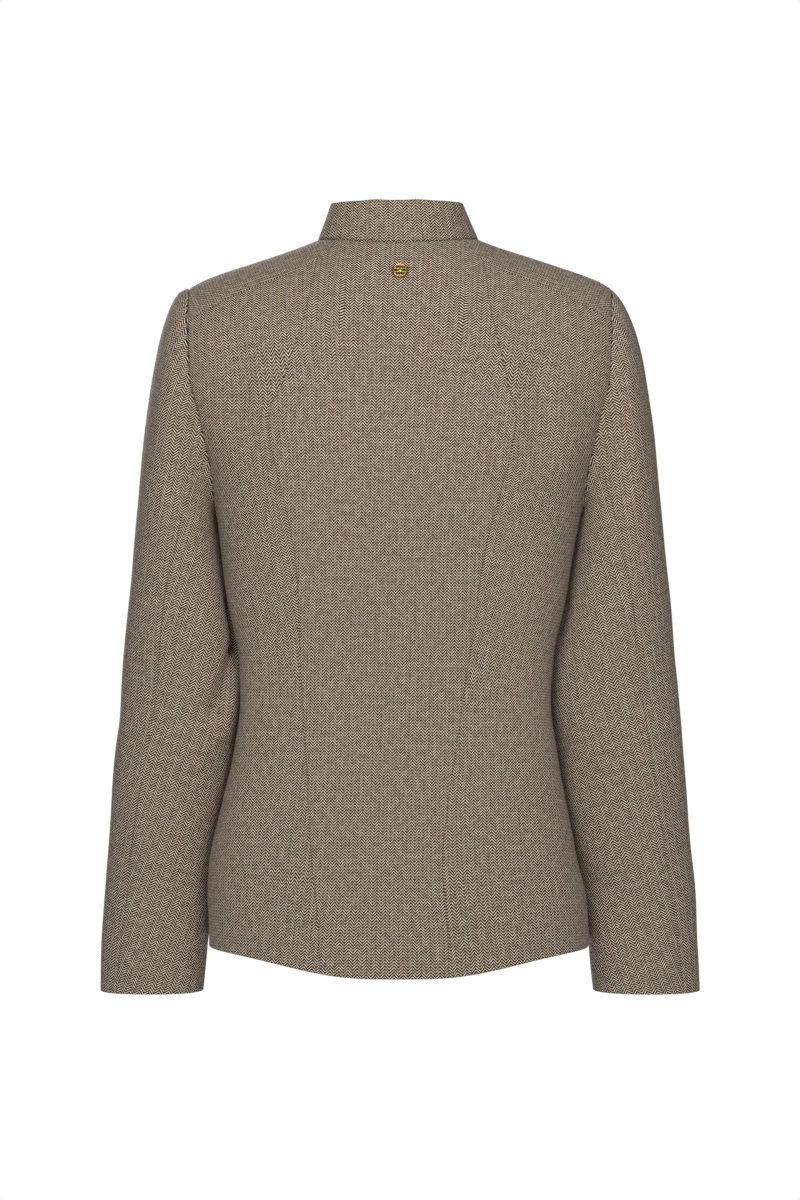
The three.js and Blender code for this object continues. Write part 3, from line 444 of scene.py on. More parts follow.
class Panel:
    """A body panel between two edges, from the hem up to its top."""

    def __init__(self, left, right, top, corners=(), lapped=False, lift=None):
        self.left, self.right, self.top = left, right, top
        self.corners, self.lapped, self.lift = corners, lapped, lift

    def places(self, rows, shares):
        """rows: pairs of kind and value, the value one number or one a column."""
        angle, z, turn = [], [], []
        for (kind, value), share in zip(rows, shares):
            value = value + np.zeros_like(share)
            if kind == "low":
                height = np.full_like(share, UNDERARM_Z)
                at = mix(self.left.low(height), self.right.low(height), share)
                for _ in range(4):
                    edge = ring(self.right.low(height), height)[..., 0] if self.lapped else None
                    low = hem(at, edge, ring(at, height)[..., 0])
                    height = mix(low, UNDERARM_Z, value)
                    at = mix(self.left.low(height), self.right.low(height), share)
                angle.append(at)
                z.append(height)
                turn.append(0 * share)
            elif kind == "side":
                angle.append(mix(self.left.low(value), self.right.low(value), share))
                z.append(value)
                turn.append(0 * share)
            else:
                at = self.cornered(value, share)
                x = ring(at, SHOULDER_Z)[..., 0]
                angle.append(at)
                z.append(np.full_like(share, SHOULDER_Z))
                turn.append((self.top(x) - TRIM / 90) * value)
        return np.array(angle), np.array(z), np.array(turn)

    def cornered(self, value, share):
        start, end = self.left.high(value), self.right.high(value)
        knots = [(0.0, start)]
        for at, corner in self.corners:
            knots.append((at, mix(mix(start, end, at), corner, value)))
        knots.append((1.0, end))
        found = start
        for (a, va), (b, vb) in zip(knots, knots[1:]):
            inside = share >= a if b == 1.0 else (share >= a) & (share < b)
            found = np.where(inside, mix(va, vb, (share - a) / (b - a)), found)
        return found

    def surface(self, rows, shares):
        place = self.places(rows, shares)
        lift = self.lift(*place) if self.lift else 0.0
        return cloth_at(*place, lift)

    def grid(self, counts, left, right):
        knots = [0.0, *[at for at, _ in self.corners], 1.0]
        low = [("low", s) for s in np.linspace(0, 1, 25)]
        side = [("side", z) for z in self.side_heights(8)]
        high = [("high", s) for s in np.linspace(0, 1, 13)]
        coarse = low + side + high
        even = np.tile(np.linspace(0, 1, 17), (len(coarse), 1))
        points, _ = self.surface(coarse, even)
        width = arc(points, 1)[:, -1]
        tall = arc(points[len(low) + len(side):], 0)[-1]
        below = arc(points[: len(low)], 0)[-1].mean()
        # rows: the hem, the straight part up to the underarm, the armhole and the shoulder
        rows = [("low", e / below) for e in NEAR["fold"][:-1]]
        rows += [("low", s) for s in np.linspace(NEAR["fold"][-1] / below, 1, 118)]
        rows += [("side", z) for z in self.side_heights(34)]
        at = np.interp([r[1] if r[0] == "low" else 1.0 for r in rows], np.linspace(0, 1, 25), width[:25])
        side_at = np.interp(
            np.linspace(0, 1, 35)[1:], np.linspace(0, 1, 9), width[24:33]
        )
        at[-34:] = side_at
        shares = ticks(at, knots, counts, left, right, TRIM)
        ups = max(6, round(float(tall.max()) / 3.6))
        top_share = ticks(width[-1:], knots, counts, left, right, TRIM)[0]
        length = np.interp(top_share, np.linspace(0, 1, 17), tall)
        near = np.array(NEAR["seam"])
        steps = [s * (1 - near[-1] / length) for s in np.linspace(0, 1, ups + 1)[1:]]
        steps += [1 - e / length for e in near[:-1][::-1]]
        high_width = np.interp([s.mean() for s in steps], np.linspace(0, 1, 13), width[-13:])
        shares = np.concatenate([shares, ticks(high_width, knots, counts, left, right, TRIM)])
        rows += [("high", s) for s in steps]
        return self.surface(rows, shares)

    @staticmethod
    def side_heights(count):
        share = np.linspace(0, 1, count + 1)[1:]
        return mix(SHOULDER_Z, UNDERARM_Z, np.cos(share * np.pi / 2))


def right_lift(angle, z, turn):
    place = ring(angle, z)[..., 0]
    middle = ring(np.pi + TWIST(z), z)[..., 0]
    return LAP_LIFT * smooth((place - middle + LAP_RAMP_FROM) / (LAP_RAMP_FROM - LAP_RAMP_TO))


def neck_place(plan):
    x = NECK_SHIFT + NECK_HALF * np.sin(plan)
    behind = np.cos(plan) >= 0
    turn = np.where(behind, neck_turn(x, True), np.pi - neck_turn(x, False))
    return x, turn


def over_shoulder(x, turn):
    behind = turn <= np.pi / 2
    angle = np.where(behind, angle_at(x, SHOULDER_Z, True), angle_at(x, SHOULDER_Z, False))
    return angle, np.where(behind, turn, np.pi - turn)


def strip_ends(share, sign=1):
    def plan(behind):
        return np.arcsin(abs(strip_corner(sign, behind) - NECK_SHIFT) / NECK_HALF)

    neck_x, neck = neck_place(sign * mix(plan(True), np.pi - plan(False), share))
    x = ARMHOLE_TOP_X + 0 * share
    for _ in range(6):
        turn = mix(strip_back_turn(x), np.pi - strip_front_turn(x), share)
        x = np.where(
            turn <= np.pi / 2,
            armhole_x(np.minimum(turn, np.pi - turn), True),
            armhole_x(np.minimum(turn, np.pi - turn), False),
        )
    return np.abs(neck_x), neck, x, turn


def strip_surface(sign, across, along):
    """across: shares from the back seam to the front one; along: shares from the neck to the armhole."""
    neck_x, neck, arm_x, _ = strip_ends(across, sign)

    def span(x):
        return strip_back_turn(x), np.pi - strip_front_turn(x)

    low, high = span(neck_x)
    neck_share = (neck - low) / (high - low)
    x = mix(neck_x, arm_x, along) + (1 - 2 * along) * TRIM
    low, high = span(x)
    turn = mix(low, high, mix(neck_share, across, along)) + (1 - 2 * across) * 2 * TRIM / 90
    angle, turn = over_shoulder(x, turn)
    return cloth_at(sign * angle, np.full_like(turn, SHOULDER_Z), turn)


def collar_surface(rise, share):
    end = np.pi - np.arcsin(STAND_HALF_GAP / NECK_HALF)
    plan = mix(-end, end, share)
    x, turn = neck_place(plan)
    angle, turn = over_shoulder(x, turn)
    base = body_point(angle, np.full_like(turn, SHOULDER_Z), turn)
    from_end = (end - np.abs(plan)) * NECK_FRONT
    side = np.sin(plan) ** 2
    tall = mix(mix(STAND_BACK, STAND_FRONT, smooth(np.abs(plan) / np.pi)), STAND_SIDE, side)
    short = np.maximum(0, STAND_CORNER - from_end)
    height = tall - STAND_CORNER + np.sqrt(np.maximum(0, STAND_CORNER**2 - short**2))
    lean = mix(STAND_LEAN_END, STAND_LEAN_SIDE, side)
    outward = unit(vector(np.sin(plan) / NECK_HALF, np.cos(plan) / NECK_FRONT, 0 * plan))
    foot = mix(-COLLAR_TUCK, 3 * SEAM_GAP, smooth(rise * 6))
    point = base + vector(0, 0, 1) * (foot + height * rise)[..., None]
    point = point - outward * (lean * rise**0.9)[..., None]
    point[..., 0] += STAND_LEAN_LEFT * rise
    normal = unit(outward + vector(0, 0, 1) * (lean / tall)[..., None])
    return point - normal * (0.6 * unevenness(point))[..., None], normal


# Places round the armhole, q from 0 under the arm up the front, over the strip and down the back to 25
def armhole_place(q):
    q = np.mod(np.asarray(q, float), 25)
    back, fore = SideEdge(1, True), SideEdge(1, False)
    angle, z, turn = np.zeros_like(q), np.full_like(q, SHOULDER_Z), np.zeros_like(q)
    for near, far, edge, top in ((0, 10, fore, strip_front_turn), (25, 15, back, strip_back_turn)):
        k = np.abs(q - near)
        low, high = k <= 7, (k > 7) & (k < 10)
        height = mix(SHOULDER_Z, UNDERARM_Z, np.cos(np.clip(k, 0, 7) / 7 * np.pi / 2))
        angle[low], z[low] = edge.low(height[low]), height[low]
        share = np.clip((k - 7) / 3, 0, 1)
        at = edge.high(share)
        angle[high] = at[high]
        turn[high] = (top(ring(at, SHOULDER_Z)[..., 0]) * share)[high]
    strip = (q >= 10) & (q <= 15)
    _, _, x, over = strip_ends(np.clip(1 - (q - 10) / 5, 0, 1))
    on_strip, up = over_shoulder(x, over)
    angle[strip], turn[strip] = on_strip[strip], up[strip]
    return angle, z, turn


def loop_turns(q):
    """Turns round the sleeve head, 0 at its top, 0.25 half-way down the back and 0.5 under the arm."""
    knots = np.arange(1, 26)
    points = body_point(*armhole_place(knots))
    length = np.r_[0, np.cumsum(np.linalg.norm(np.diff(points, axis=0), axis=1))]
    total = length[-1] + np.linalg.norm(points[0] - points[-1])
    crest = int(points[:, 2].argmax())
    down = 0.5 * (length - length[crest]) / (length[-1] - length[crest])
    up = -0.5 * (length[crest] - length) / (length[crest] + total - length[-1])
    turns = np.where(np.arange(25) >= crest, down, up)
    return np.mod(np.interp(np.mod(q, 25), np.r_[0, knots], np.r_[-0.5, turns]), 1)


def inner_edge(side, z):
    listed, outer = INNER[side](z), OUT[side](z)
    across = MIDDLE(z) if side == "L" else -MIDDLE(z)
    inner = listed
    off = np.linspace(-0.7, 0.7, 25)
    for _ in range(3):
        half = ((outer - inner) / 2)[..., None]
        y = TUBE_MIDDLE(z)[..., None] + off * DEEP(z)[..., None]
        aft = y - AFT(z)[..., None]
        depth = np.where(aft > 0, BACK(z)[..., None], FRONT(z)[..., None])
        n = SQUARE(z)[..., None]
        body_side = across[..., None] + HALF(z)[..., None] * (1 - np.abs(aft / depth) ** n) ** (1 / n)
        bulge = 1 - (1 - np.abs(off) ** SLEEVE_SQUARE) ** (1 / SLEEVE_SQUARE)
        needed = (body_side + SLEEVE_CLEAR - half * bulge).max(-1)
        inner = np.maximum(listed, needed)
    return np.where(z < HEM_SIDE_Z - 6, listed, inner)


def tube_point(side, turns, z, edges):
    outer, inner = edges
    half, deep = (outer - inner) / 2, DEEP(z)
    c, s = np.cos(turns * 2 * np.pi), np.sin(turns * 2 * np.pi)
    reach = (np.abs(c) ** SLEEVE_SQUARE + np.abs(s) ** SLEEVE_SQUARE) ** (-1 / SLEEVE_SQUARE)
    return vector((outer + inner) / 2 + half * reach * c, TUBE_MIDDLE(z) + deep * reach * s, z)


HIND_Q, FORE_Q = 21, 3


def tube_turns(q, z):
    past = np.mod(q - FORE_Q, 25)
    hind, fore, count = HIND(z), FORE(z), HIND_Q - FORE_Q
    upper = fore + (1 + hind - fore) * past / count
    under = 1 + hind + (fore - hind) * (past - count) / (25 - count)
    return np.where(past <= count, upper, under)


def tube(side, q, z):
    return tube_point(side, tube_turns(q, z), z, (OUT[side](z), inner_edge(side, z)))


def head_curve(side, sign, q):
    """The sleeve head's first points, the ways their cloth faces, and its Bezier handles."""
    angle, z, turn = armhole_place(q)
    point, normal = cloth_at(sign * angle, z, turn)
    point[..., 0] *= sign
    normal[..., 0] *= sign
    along = unit(body_point(*armhole_place(q + 0.5)) - body_point(*armhole_place(q - 0.5)))
    out = unit(np.cross(along, body_normal(angle, z, turn)))
    t = loop_turns(q)
    crown = np.cos(t * np.pi) ** 8
    way = unit(vector(HEAD_OUT(t), HEAD_BACK(t), HEAD_UP(t) + HEAD_LIFT[side] * crown))
    top = np.full_like(q, SLEEVE_TOP_Z)
    end = tube(side, q, top)
    upright = unit(end - tube(side, q, top - 20))
    full = mix(1, HEAD_FULLNESS[side], np.cos(t * np.pi) ** 2)
    first = point + out * 2 * TRIM
    handles = (
        first,
        first + way * (REACH(t) * full)[..., None],
        end + upright * DROP(t)[..., None],
        end,
    )
    return normal, handles


def bezier(handles, t):
    a, b, c, d = (h[None] for h in handles)
    t = t[:, None, None] if t.ndim == 1 else t[..., None]
    return a * (1 - t) ** 3 + 3 * b * t * (1 - t) ** 2 + 3 * c * t * t * (1 - t) + d * t**3


def sleeve_grid(side, sign, upper, count):
    """Rows from the armhole down to the cuff; columns from one long seam to the other."""
    start, length = (FORE_Q, HIND_Q - FORE_Q) if upper else (HIND_Q, 25 - HIND_Q + FORE_Q)
    rough = start + np.linspace(0, 1, 121) * length
    # even columns along the cloth, measured at three levels
    levels = [tube(side, rough, np.full_like(rough, z)) for z in (SLEEVE_TOP_Z, -450.0)]
    heads = head_curve(side, sign, rough)[1]
    levels.append(bezier(heads, np.array([0.02]))[0])
    lengths = np.array([arc(points, 0) for points in levels])
    width = lengths[:, -1]
    share_at = (lengths / width[:, None]).mean(0)

    def q_of(edge_width):
        even = ticks([edge_width], [0.0, 1.0], [count], "seam", "seam", TRIM)[0]
        return start + np.interp(even, share_at, np.linspace(0, 1, 121)) * length

    q = q_of(width.mean())
    normal, handles = head_curve(side, sign, q)
    dense = bezier(handles, np.linspace(0, 1, 61))
    travelled = arc(dense, 0)
    near = np.array(NEAR["seam"])
    rows_head = 30
    total = travelled[-1]
    wanted = [e + 0 * total for e in near[:-1]]
    wanted += [mix(near[-1] + 0 * total, total, s) for s in np.linspace(0, 1, rows_head)]
    wanted = np.array(wanted)
    t = np.array([
        np.interp(wanted[:, c], travelled[:, c], np.linspace(0, 1, 61)) for c in range(len(q))
    ]).T
    t[-1] = 1
    head = bezier(handles, t)
    cuff = SLEEVE[0, 0]
    near = np.array(NEAR["fold"])
    heights = np.r_[np.linspace(SLEEVE_TOP_Z, cuff + near[-1], 124)[1:], cuff + near[:-1][::-1]]
    low = tube(side, q[None, :] + 0 * heights[:, None], heights[:, None] + 0 * q[None, :])
    points = np.concatenate([head, low])
    # draw the seam gaps and the close columns to true width in every row
    points = regrid_columns(points)
    faces = grid_normals(points)
    blend = np.exp(-(arc(points, 0) / 5.0) ** 2)[..., None]
    faces = unit(mix(faces, np.broadcast_to(normal, faces.shape), blend))
    turns = tube_turns(q[None, :] + 0 * points[..., 2], np.clip(points[..., 2], cuff, SLEEVE_TOP_Z))
    turns = np.mod(turns, 1)
    folds = SLEEVE_FOLDS[side] + FINE_SLEEVE_FOLDS[side]
    folds = [(a * 300, b, c * 300, d, wide, deep) for a, b, c, d, wide, deep in folds]
    depth = fold_depth(folds, turns * 300, points[..., 2])
    depth = depth + fold_depth([f for f in folds if max(f[0], f[2]) > 300], turns * 300 + 300, points[..., 2])
    depth = depth * smooth((SLEEVE_TOP_Z + 6 - points[..., 2]) / 24)
    # smooth where the sleeve lies against the body
    free = np.where(points[..., 2] < -450, 1, smooth((np.abs(turns - 0.53) - 0.04) / 0.06))
    depth = depth * free
    points = points - faces * depth[..., None]
    mirror = np.array([sign, 1.0, 1.0])
    points, faces = points * mirror, faces * mirror
    points = points - faces * unevenness(points)[..., None]
    # the last value is painted shade on the sleeve, darker where its folds are deeper than 3 mm
    return points[::-1], faces[::-1], 0.8 * smooth((depth[::-1] - 3) / 6)


def regrid_columns(points):
    """Slides the columns along each row so that those near both seams keep their set distances."""
    near = np.array(NEAR["seam"])
    done = points.copy()
    length = arc(points, 1)
    for r, row in enumerate(points):
        total = length[r, -1]
        share = length[r] - length[r, len(near) - 1]
        share = share / (length[r, -len(near)] - length[r, len(near) - 1])
        inner = mix(near[-1], total - near[-1], share[len(near):-len(near)])
        wanted = np.r_[near, inner, total - near[::-1]]
        for k in range(3):
            done[r, :, k] = np.interp(wanted, length[r], row[:, k])
    return done


def grid_normals(points):
    down = np.gradient(points, axis=0)
    across = np.gradient(points, axis=1)
    return unit(np.cross(down, across))


def drops(points, kinds, thick):
    """How far both faces give way towards the edges, in mm, and how worn or shaded the cloth is there."""
    along, up = arc(points, 1), arc(points, 0)
    ways = {"left": along, "right": along[:, -1:] - along, "low": up, "high": up[-1:] - up}
    seam, fold, worn, shade = np.zeros((4, *points.shape[:2]))
    radius = thick / 2
    for name, away in ways.items():
        kind = kinds[name]
        if kind == "fold":
            short = np.clip(radius - away, 0, radius)
            fold = np.maximum(fold, radius - np.sqrt(radius**2 - short**2))
            worn = np.maximum(worn, 1 - smooth(away / 2.2))
        else:
            wide, dark = SEAM_SHADE[kind]
            seam = np.maximum(seam, np.interp(away, NEAR[kind], SEAM_DROP[kind]))
            shade = np.maximum(shade, dark * (1 - smooth(away / wide)))
    fold = np.minimum(fold, radius - 0.05)
    return np.maximum(seam, fold), fold, worn, shade


def flatten(points):
    """Flat shape of a coarse grid of cloth, as rigid as possible, in mm."""
    rows, cols = points.shape[:2]
    number = np.arange(rows * cols).reshape(rows, cols)
    a, b = number[:-1, :-1].ravel(), number[:-1, 1:].ravel()
    c, d = number[1:, 1:].ravel(), number[1:, :-1].ravel()
    tri = np.concatenate([np.stack([a, b, c], 1), np.stack([a, c, d], 1)])
    flat = points.reshape(-1, 3)
    p0, p1, p2 = flat[tri[:, 0]], flat[tri[:, 1]], flat[tri[:, 2]]
    first = unit(p1 - p0)
    x1 = np.linalg.norm(p1 - p0, axis=1)
    x2 = ((p2 - p0) * first).sum(1)
    y2 = np.linalg.norm((p2 - p0) - first * x2[:, None], axis=1)
    local = np.zeros((len(tri), 3, 2))
    local[:, 1, 0], local[:, 2, 0], local[:, 2, 1] = x1, x2, y2
    edges = [(0, 1, 2), (1, 2, 0), (2, 0, 1)]
    count = rows * cols
    system = np.zeros((count, count))
    weights = []
    for i, j, k in edges:
        u, v = local[:, i] - local[:, k], local[:, j] - local[:, k]
        cross = np.abs(u[:, 0] * v[:, 1] - u[:, 1] * v[:, 0])
        w = np.clip((u * v).sum(1) / np.maximum(cross, 1e-9), 0.05, 20)
        weights.append(w)
        i, j = tri[:, i], tri[:, j]
        np.add.at(system, (i, j), -w)
        np.add.at(system, (j, i), -w)
        np.add.at(system, (i, i), w)
        np.add.at(system, (j, j), w)
    system += 1e-6 * np.eye(count)
    inverse = np.linalg.inv(system)
    middle = cols // 2
    u = arc(points, 1)
    u = u - u[:, middle:middle + 1]
    v = np.broadcast_to(arc(points, 0)[:, middle:middle + 1], u.shape)
    laid = np.stack([u.ravel(), v.ravel()], 1)
    for _ in range(30):
        real = np.zeros(len(tri))
        turned = np.zeros(len(tri))
        for (i, j, k), w in zip(edges, weights):
            e, f = local[:, i] - local[:, j], laid[tri[:, i]] - laid[tri[:, j]]
            real += w * (e * f).sum(1)
            turned += w * (e[:, 0] * f[:, 1] - e[:, 1] * f[:, 0])
        size = np.hypot(real, turned)
        cos, sin = real / size, turned / size
        right = np.zeros((count, 2))
        for (i, j, k), w in zip(edges, weights):
            e = local[:, i] - local[:, j]
            way = np.stack([cos * e[:, 0] - sin * e[:, 1], sin * e[:, 0] + cos * e[:, 1]], 1)
            np.add.at(right, tri[:, i], w[:, None] * way)
            np.add.at(right, tri[:, j], -w[:, None] * way)
        laid = inverse @ right
    return laid.reshape(rows, cols, 2)


def cloth_map(points, grain_along_rows=False):
    """Flat place of each point of the cloth in mm, with the grain along the second number."""
    rows, cols = points.shape[:2]
    pick_rows = np.unique(np.linspace(0, rows - 1, min(34, rows)).round().astype(int))
    pick_cols = np.unique(np.linspace(0, cols - 1, min(15 if rows > cols else 40, cols)).round().astype(int))
    coarse = flatten(points[np.ix_(pick_rows, pick_cols)])
    along, up = arc(points, 1), arc(points, 0)

    def shares(lengths, picks, total):
        cell = np.clip(np.searchsorted(picks, np.arange(total), side="right") - 1, 0, len(picks) - 2)
        low, high = picks[cell], picks[cell + 1]
        return cell, (lengths - lengths[:, low]) / (lengths[:, high] - lengths[:, low])

    col_cell, a = shares(along, pick_cols, cols)
    row_cell, b = shares(up.T, pick_rows, rows)
    b = b.T
    r, c = np.meshgrid(row_cell, col_cell, indexing="ij")
    a, b = a[..., None], b[..., None]
    flat = mix(
        mix(coarse[r, c], coarse[r, c + 1], a), mix(coarse[r + 1, c], coarse[r + 1, c + 1], a), b
    )
    middle = cols // 2
    if grain_along_rows:
        way = flat[rows // 2, -1] - flat[rows // 2, 0]
    else:
        way = flat[int(rows * 0.85), middle] - flat[int(rows * 0.12), middle]
    way = way / np.hypot(*way)
    turn = np.array([[way[1], way[0]], [-way[0], way[1]]])
    flat = flat @ turn
    return flat - flat[rows // 2, middle]


def woven(flat, points, normals, rows, pivot=0.0):
    """Places in the weave, from rows of height, lean and width of the columns, upwards.

    The lean is that of the grain's upper end towards the wearer's right, in degrees, beyond its lean in
    the flat cloth. The weave is true to size along the line at the pivot.
    """
    rows = np.array(rows, float)
    seen = normals[..., 1] > 0.3
    hand = -np.sign(np.gradient(points[..., 0], axis=1)[seen].mean())
    middle = flat.shape[1] // 2
    v = np.linspace(flat[..., 1].min() - 1, flat[..., 1].max() + 1, 400)
    z = np.interp(v, flat[:, middle, 1], points[:, middle, 2])
    heading = -hand * curve(rows, 1)(z) * DEGREE
    path = np.stack([np.cumsum(np.sin(heading)), np.cumsum(np.cos(heading))]) * (v[1] - v[0])
    x, y, at, wide = (np.interp(flat[..., 1], v, line) for line in (*path, heading, curve(rows, 2)(z)))
    u = flat[..., 0] - pivot
    return np.stack([x + u * np.cos(at) / wide, y - u * np.sin(at)], -1)


def outline_area(flat):
    edge = np.concatenate([flat[0], flat[1:, -1], flat[-1, -2::-1], flat[-2:0:-1, 0]])
    x, y = edge[:, 0], edge[:, 1]
    return abs((x * np.roll(y, -1) - y * np.roll(x, -1)).sum()) / 2


def shell(name, grid, kinds, thick, material, grain_along_rows=False, weave=None, hollow=None):
    """A closed wall of cloth from a grid of outer points and the ways they face."""
    points, normals = grid
    rows, cols = points.shape[:2]
    outer_drop, inner_drop, worn, shade = drops(points, kinds, thick)
    # painted shade of the sleeves' deep folds, where given, joins the painted shade along the seams
    if hollow is not None:
        shade = np.maximum(shade, hollow)
    flat = cloth_map(points, grain_along_rows)
    places = woven(flat, points, normals, *weave) if weave else flat
    outer = points - normals * outer_drop[..., None]
    inner = points - normals * (thick - inner_drop)[..., None]
    number = np.arange(rows * cols).reshape(rows, cols)
    under = number + rows * cols

    def quads(a, b, c, d):
        return np.stack([a.ravel(), b.ravel(), c.ravel(), d.ravel()], 1)

    faces = [
        quads(number[:-1, :-1], number[:-1, 1:], number[1:, 1:], number[1:, :-1]),
        quads(under[:-1, :-1], under[1:, :-1], under[1:, 1:], under[:-1, 1:]),
        quads(number[:-1, 0], number[1:, 0], under[1:, 0], under[:-1, 0]),
        quads(number[:-1, -1], under[:-1, -1], under[1:, -1], number[1:, -1]),
        quads(number[0, :-1], under[0, :-1], under[0, 1:], number[0, 1:]),
        quads(number[-1, :-1], number[-1, 1:], under[-1, 1:], under[-1, :-1]),
    ]
    # where each group of faces lies in the map that carries the finished surface
    low, high = flat.reshape(-1, 2).min(0), flat.reshape(-1, 2).max(0)
    square = (flat - low) / (high - low)
    x, y = square[..., 0], square[..., 1]
    outer_at = np.stack([0.006 + 0.484 * x, 0.006 + 0.988 * y], -1).reshape(-1, 2)
    inner_at = np.stack([0.994 - 0.484 * x, 0.006 + 0.988 * y], -1).reshape(-1, 2)
    both = np.concatenate([outer_at, inner_at])
    laid = []
    for i, group in enumerate(faces):
        at = both[group]
        if i >= 2:
            under_side = group >= rows * cols
            if i < 4:
                base = 0.4935 if i == 2 else 0.5035
                at[..., 0] = base + 0.003 * under_side
            else:
                base = 0.0005 if i == 4 else 0.9965
                at[..., 0] = np.where(under_side, 0.994 - at[..., 0] + 0.006, at[..., 0])
                at[..., 1] = base + 0.003 * under_side
        laid.append(at)
    faces, laid = np.concatenate(faces), np.concatenate(laid)
    vertices = np.concatenate([outer.reshape(-1, 3), inner.reshape(-1, 3)])
    corner = vertices[faces]
    area = np.cross(corner[:, 2] - corner[:, 0], corner[:, 3] - corner[:, 1])
    if (corner[:, 0] * area).sum() < 0:
        faces, laid = faces[:, ::-1], laid[:, ::-1]
    mesh = bpy.data.meshes.new(name)
    mesh.vertices.add(len(vertices))
    mesh.vertices.foreach_set("co", (vertices * MM).astype(np.float32).ravel())
    mesh.loops.add(faces.size)
    mesh.loops.foreach_set("vertex_index", faces.astype(np.int32).ravel())
    mesh.polygons.add(len(faces))
    mesh.polygons.foreach_set("loop_start", np.arange(0, faces.size, 4, dtype=np.int32))
    mesh.polygons.foreach_set("loop_total", np.full(len(faces), 4, dtype=np.int32))
    mesh.update(calc_edges=True)
    places = np.concatenate([places.reshape(-1, 2)] * 2) * MM
    cloth = mesh.uv_layers.new(name="Cloth")
    cloth.uv.foreach_set("vector", places[faces.ravel()].astype(np.float32).ravel())
    bake = mesh.uv_layers.new(name="OFBake")
    bake.uv.foreach_set("vector", laid.astype(np.float32).ravel())
    mesh.uv_layers.active = bake
    for label, value in (("worn", worn), ("seam_shade", shade)):
        layer = mesh.attributes.new(label, "FLOAT", "POINT")
        layer.data.foreach_set("value", np.tile(value.ravel(), 2).astype(np.float32))
    mesh.validate()
    mesh.shade_smooth()
    mesh.materials.append(material)
    piece = bpy.data.objects.new(name, mesh)
    bpy.context.scene.collection.objects.link(piece)
    size = (high - low) * MM
    return piece, size, outline_area(flat) * MM * MM


class Nodes:
    """Short calls for a material's nodes."""

    def __init__(self, name):
        self.material = bpy.data.materials.new(name)
        self.material.use_nodes = True
        self.tree = self.material.node_tree
        self.tree.nodes.clear()
        self.out = self.tree.nodes.new("ShaderNodeOutputMaterial")
        self.shader = self.tree.nodes.new("ShaderNodeBsdfPrincipled")
        self.tree.links.new(self.shader.outputs[0], self.out.inputs["Surface"])

    def put(self, socket, value):
        if isinstance(value, bpy.types.NodeSocket):
            self.tree.links.new(value, socket)
        else:
            socket.default_value = value

    def math(self, operation, a, b=None, c=None, clamp=False):
        node = self.tree.nodes.new("ShaderNodeMath")
        node.operation = operation
        node.use_clamp = clamp
        for socket, value in zip(node.inputs, (a, b, c)):
            if value is not None:
                self.put(socket, value)
        return node.outputs[0]

    def mix(self, share, a, b, blend="MIX"):
        node = self.tree.nodes.new("ShaderNodeMix")
        node.data_type = "RGBA"
        node.blend_type = blend
        sockets = [s for s in node.inputs if s.type == "RGBA"]
        self.put(node.inputs["Factor"], share)
        self.put(sockets[0], a)
        self.put(sockets[1], b)
        return [s for s in node.outputs if s.type == "RGBA"][0]

    def noise(self, vector, scale, detail=2.0, rough=0.5):
        node = self.tree.nodes.new("ShaderNodeTexNoise")
        self.put(node.inputs["Vector"], vector)
        node.inputs["Scale"].default_value = scale
        node.inputs["Detail"].default_value = detail
        node.inputs["Roughness"].default_value = rough
        return node.outputs["Fac"] if "Fac" in node.outputs else node.outputs[0]

    def span(self, value, low, high, to_low=0.0, to_high=1.0):
        node = self.tree.nodes.new("ShaderNodeMapRange")
        node.interpolation_type = "SMOOTHSTEP"
        for name, v in zip(("Value", "From Min", "From Max", "To Min", "To Max"),
                           (value, low, high, to_low, to_high)):
            self.put(node.inputs[name], v)
        return node.outputs["Result"]

    def attribute(self, name):
        node = self.tree.nodes.new("ShaderNodeAttribute")
        node.attribute_name = name
        return node.outputs["Fac"]

    def bump(self, height, distance, strength=1.0):
        node = self.tree.nodes.new("ShaderNodeBump")
        self.put(node.inputs["Height"], height)
        node.inputs["Distance"].default_value = distance
        node.inputs["Strength"].default_value = strength
        self.tree.links.new(node.outputs[0], self.shader.inputs["Normal"])


def linear(r, g, b):
    def one(v):
        v = v / 255
        return v / 12.92 if v <= 0.04045 else ((v + 0.055) / 1.055) ** 2.4

    return (one(r), one(g), one(b), 1.0)


COLUMN = 0.00345
PITCH = 0.00255


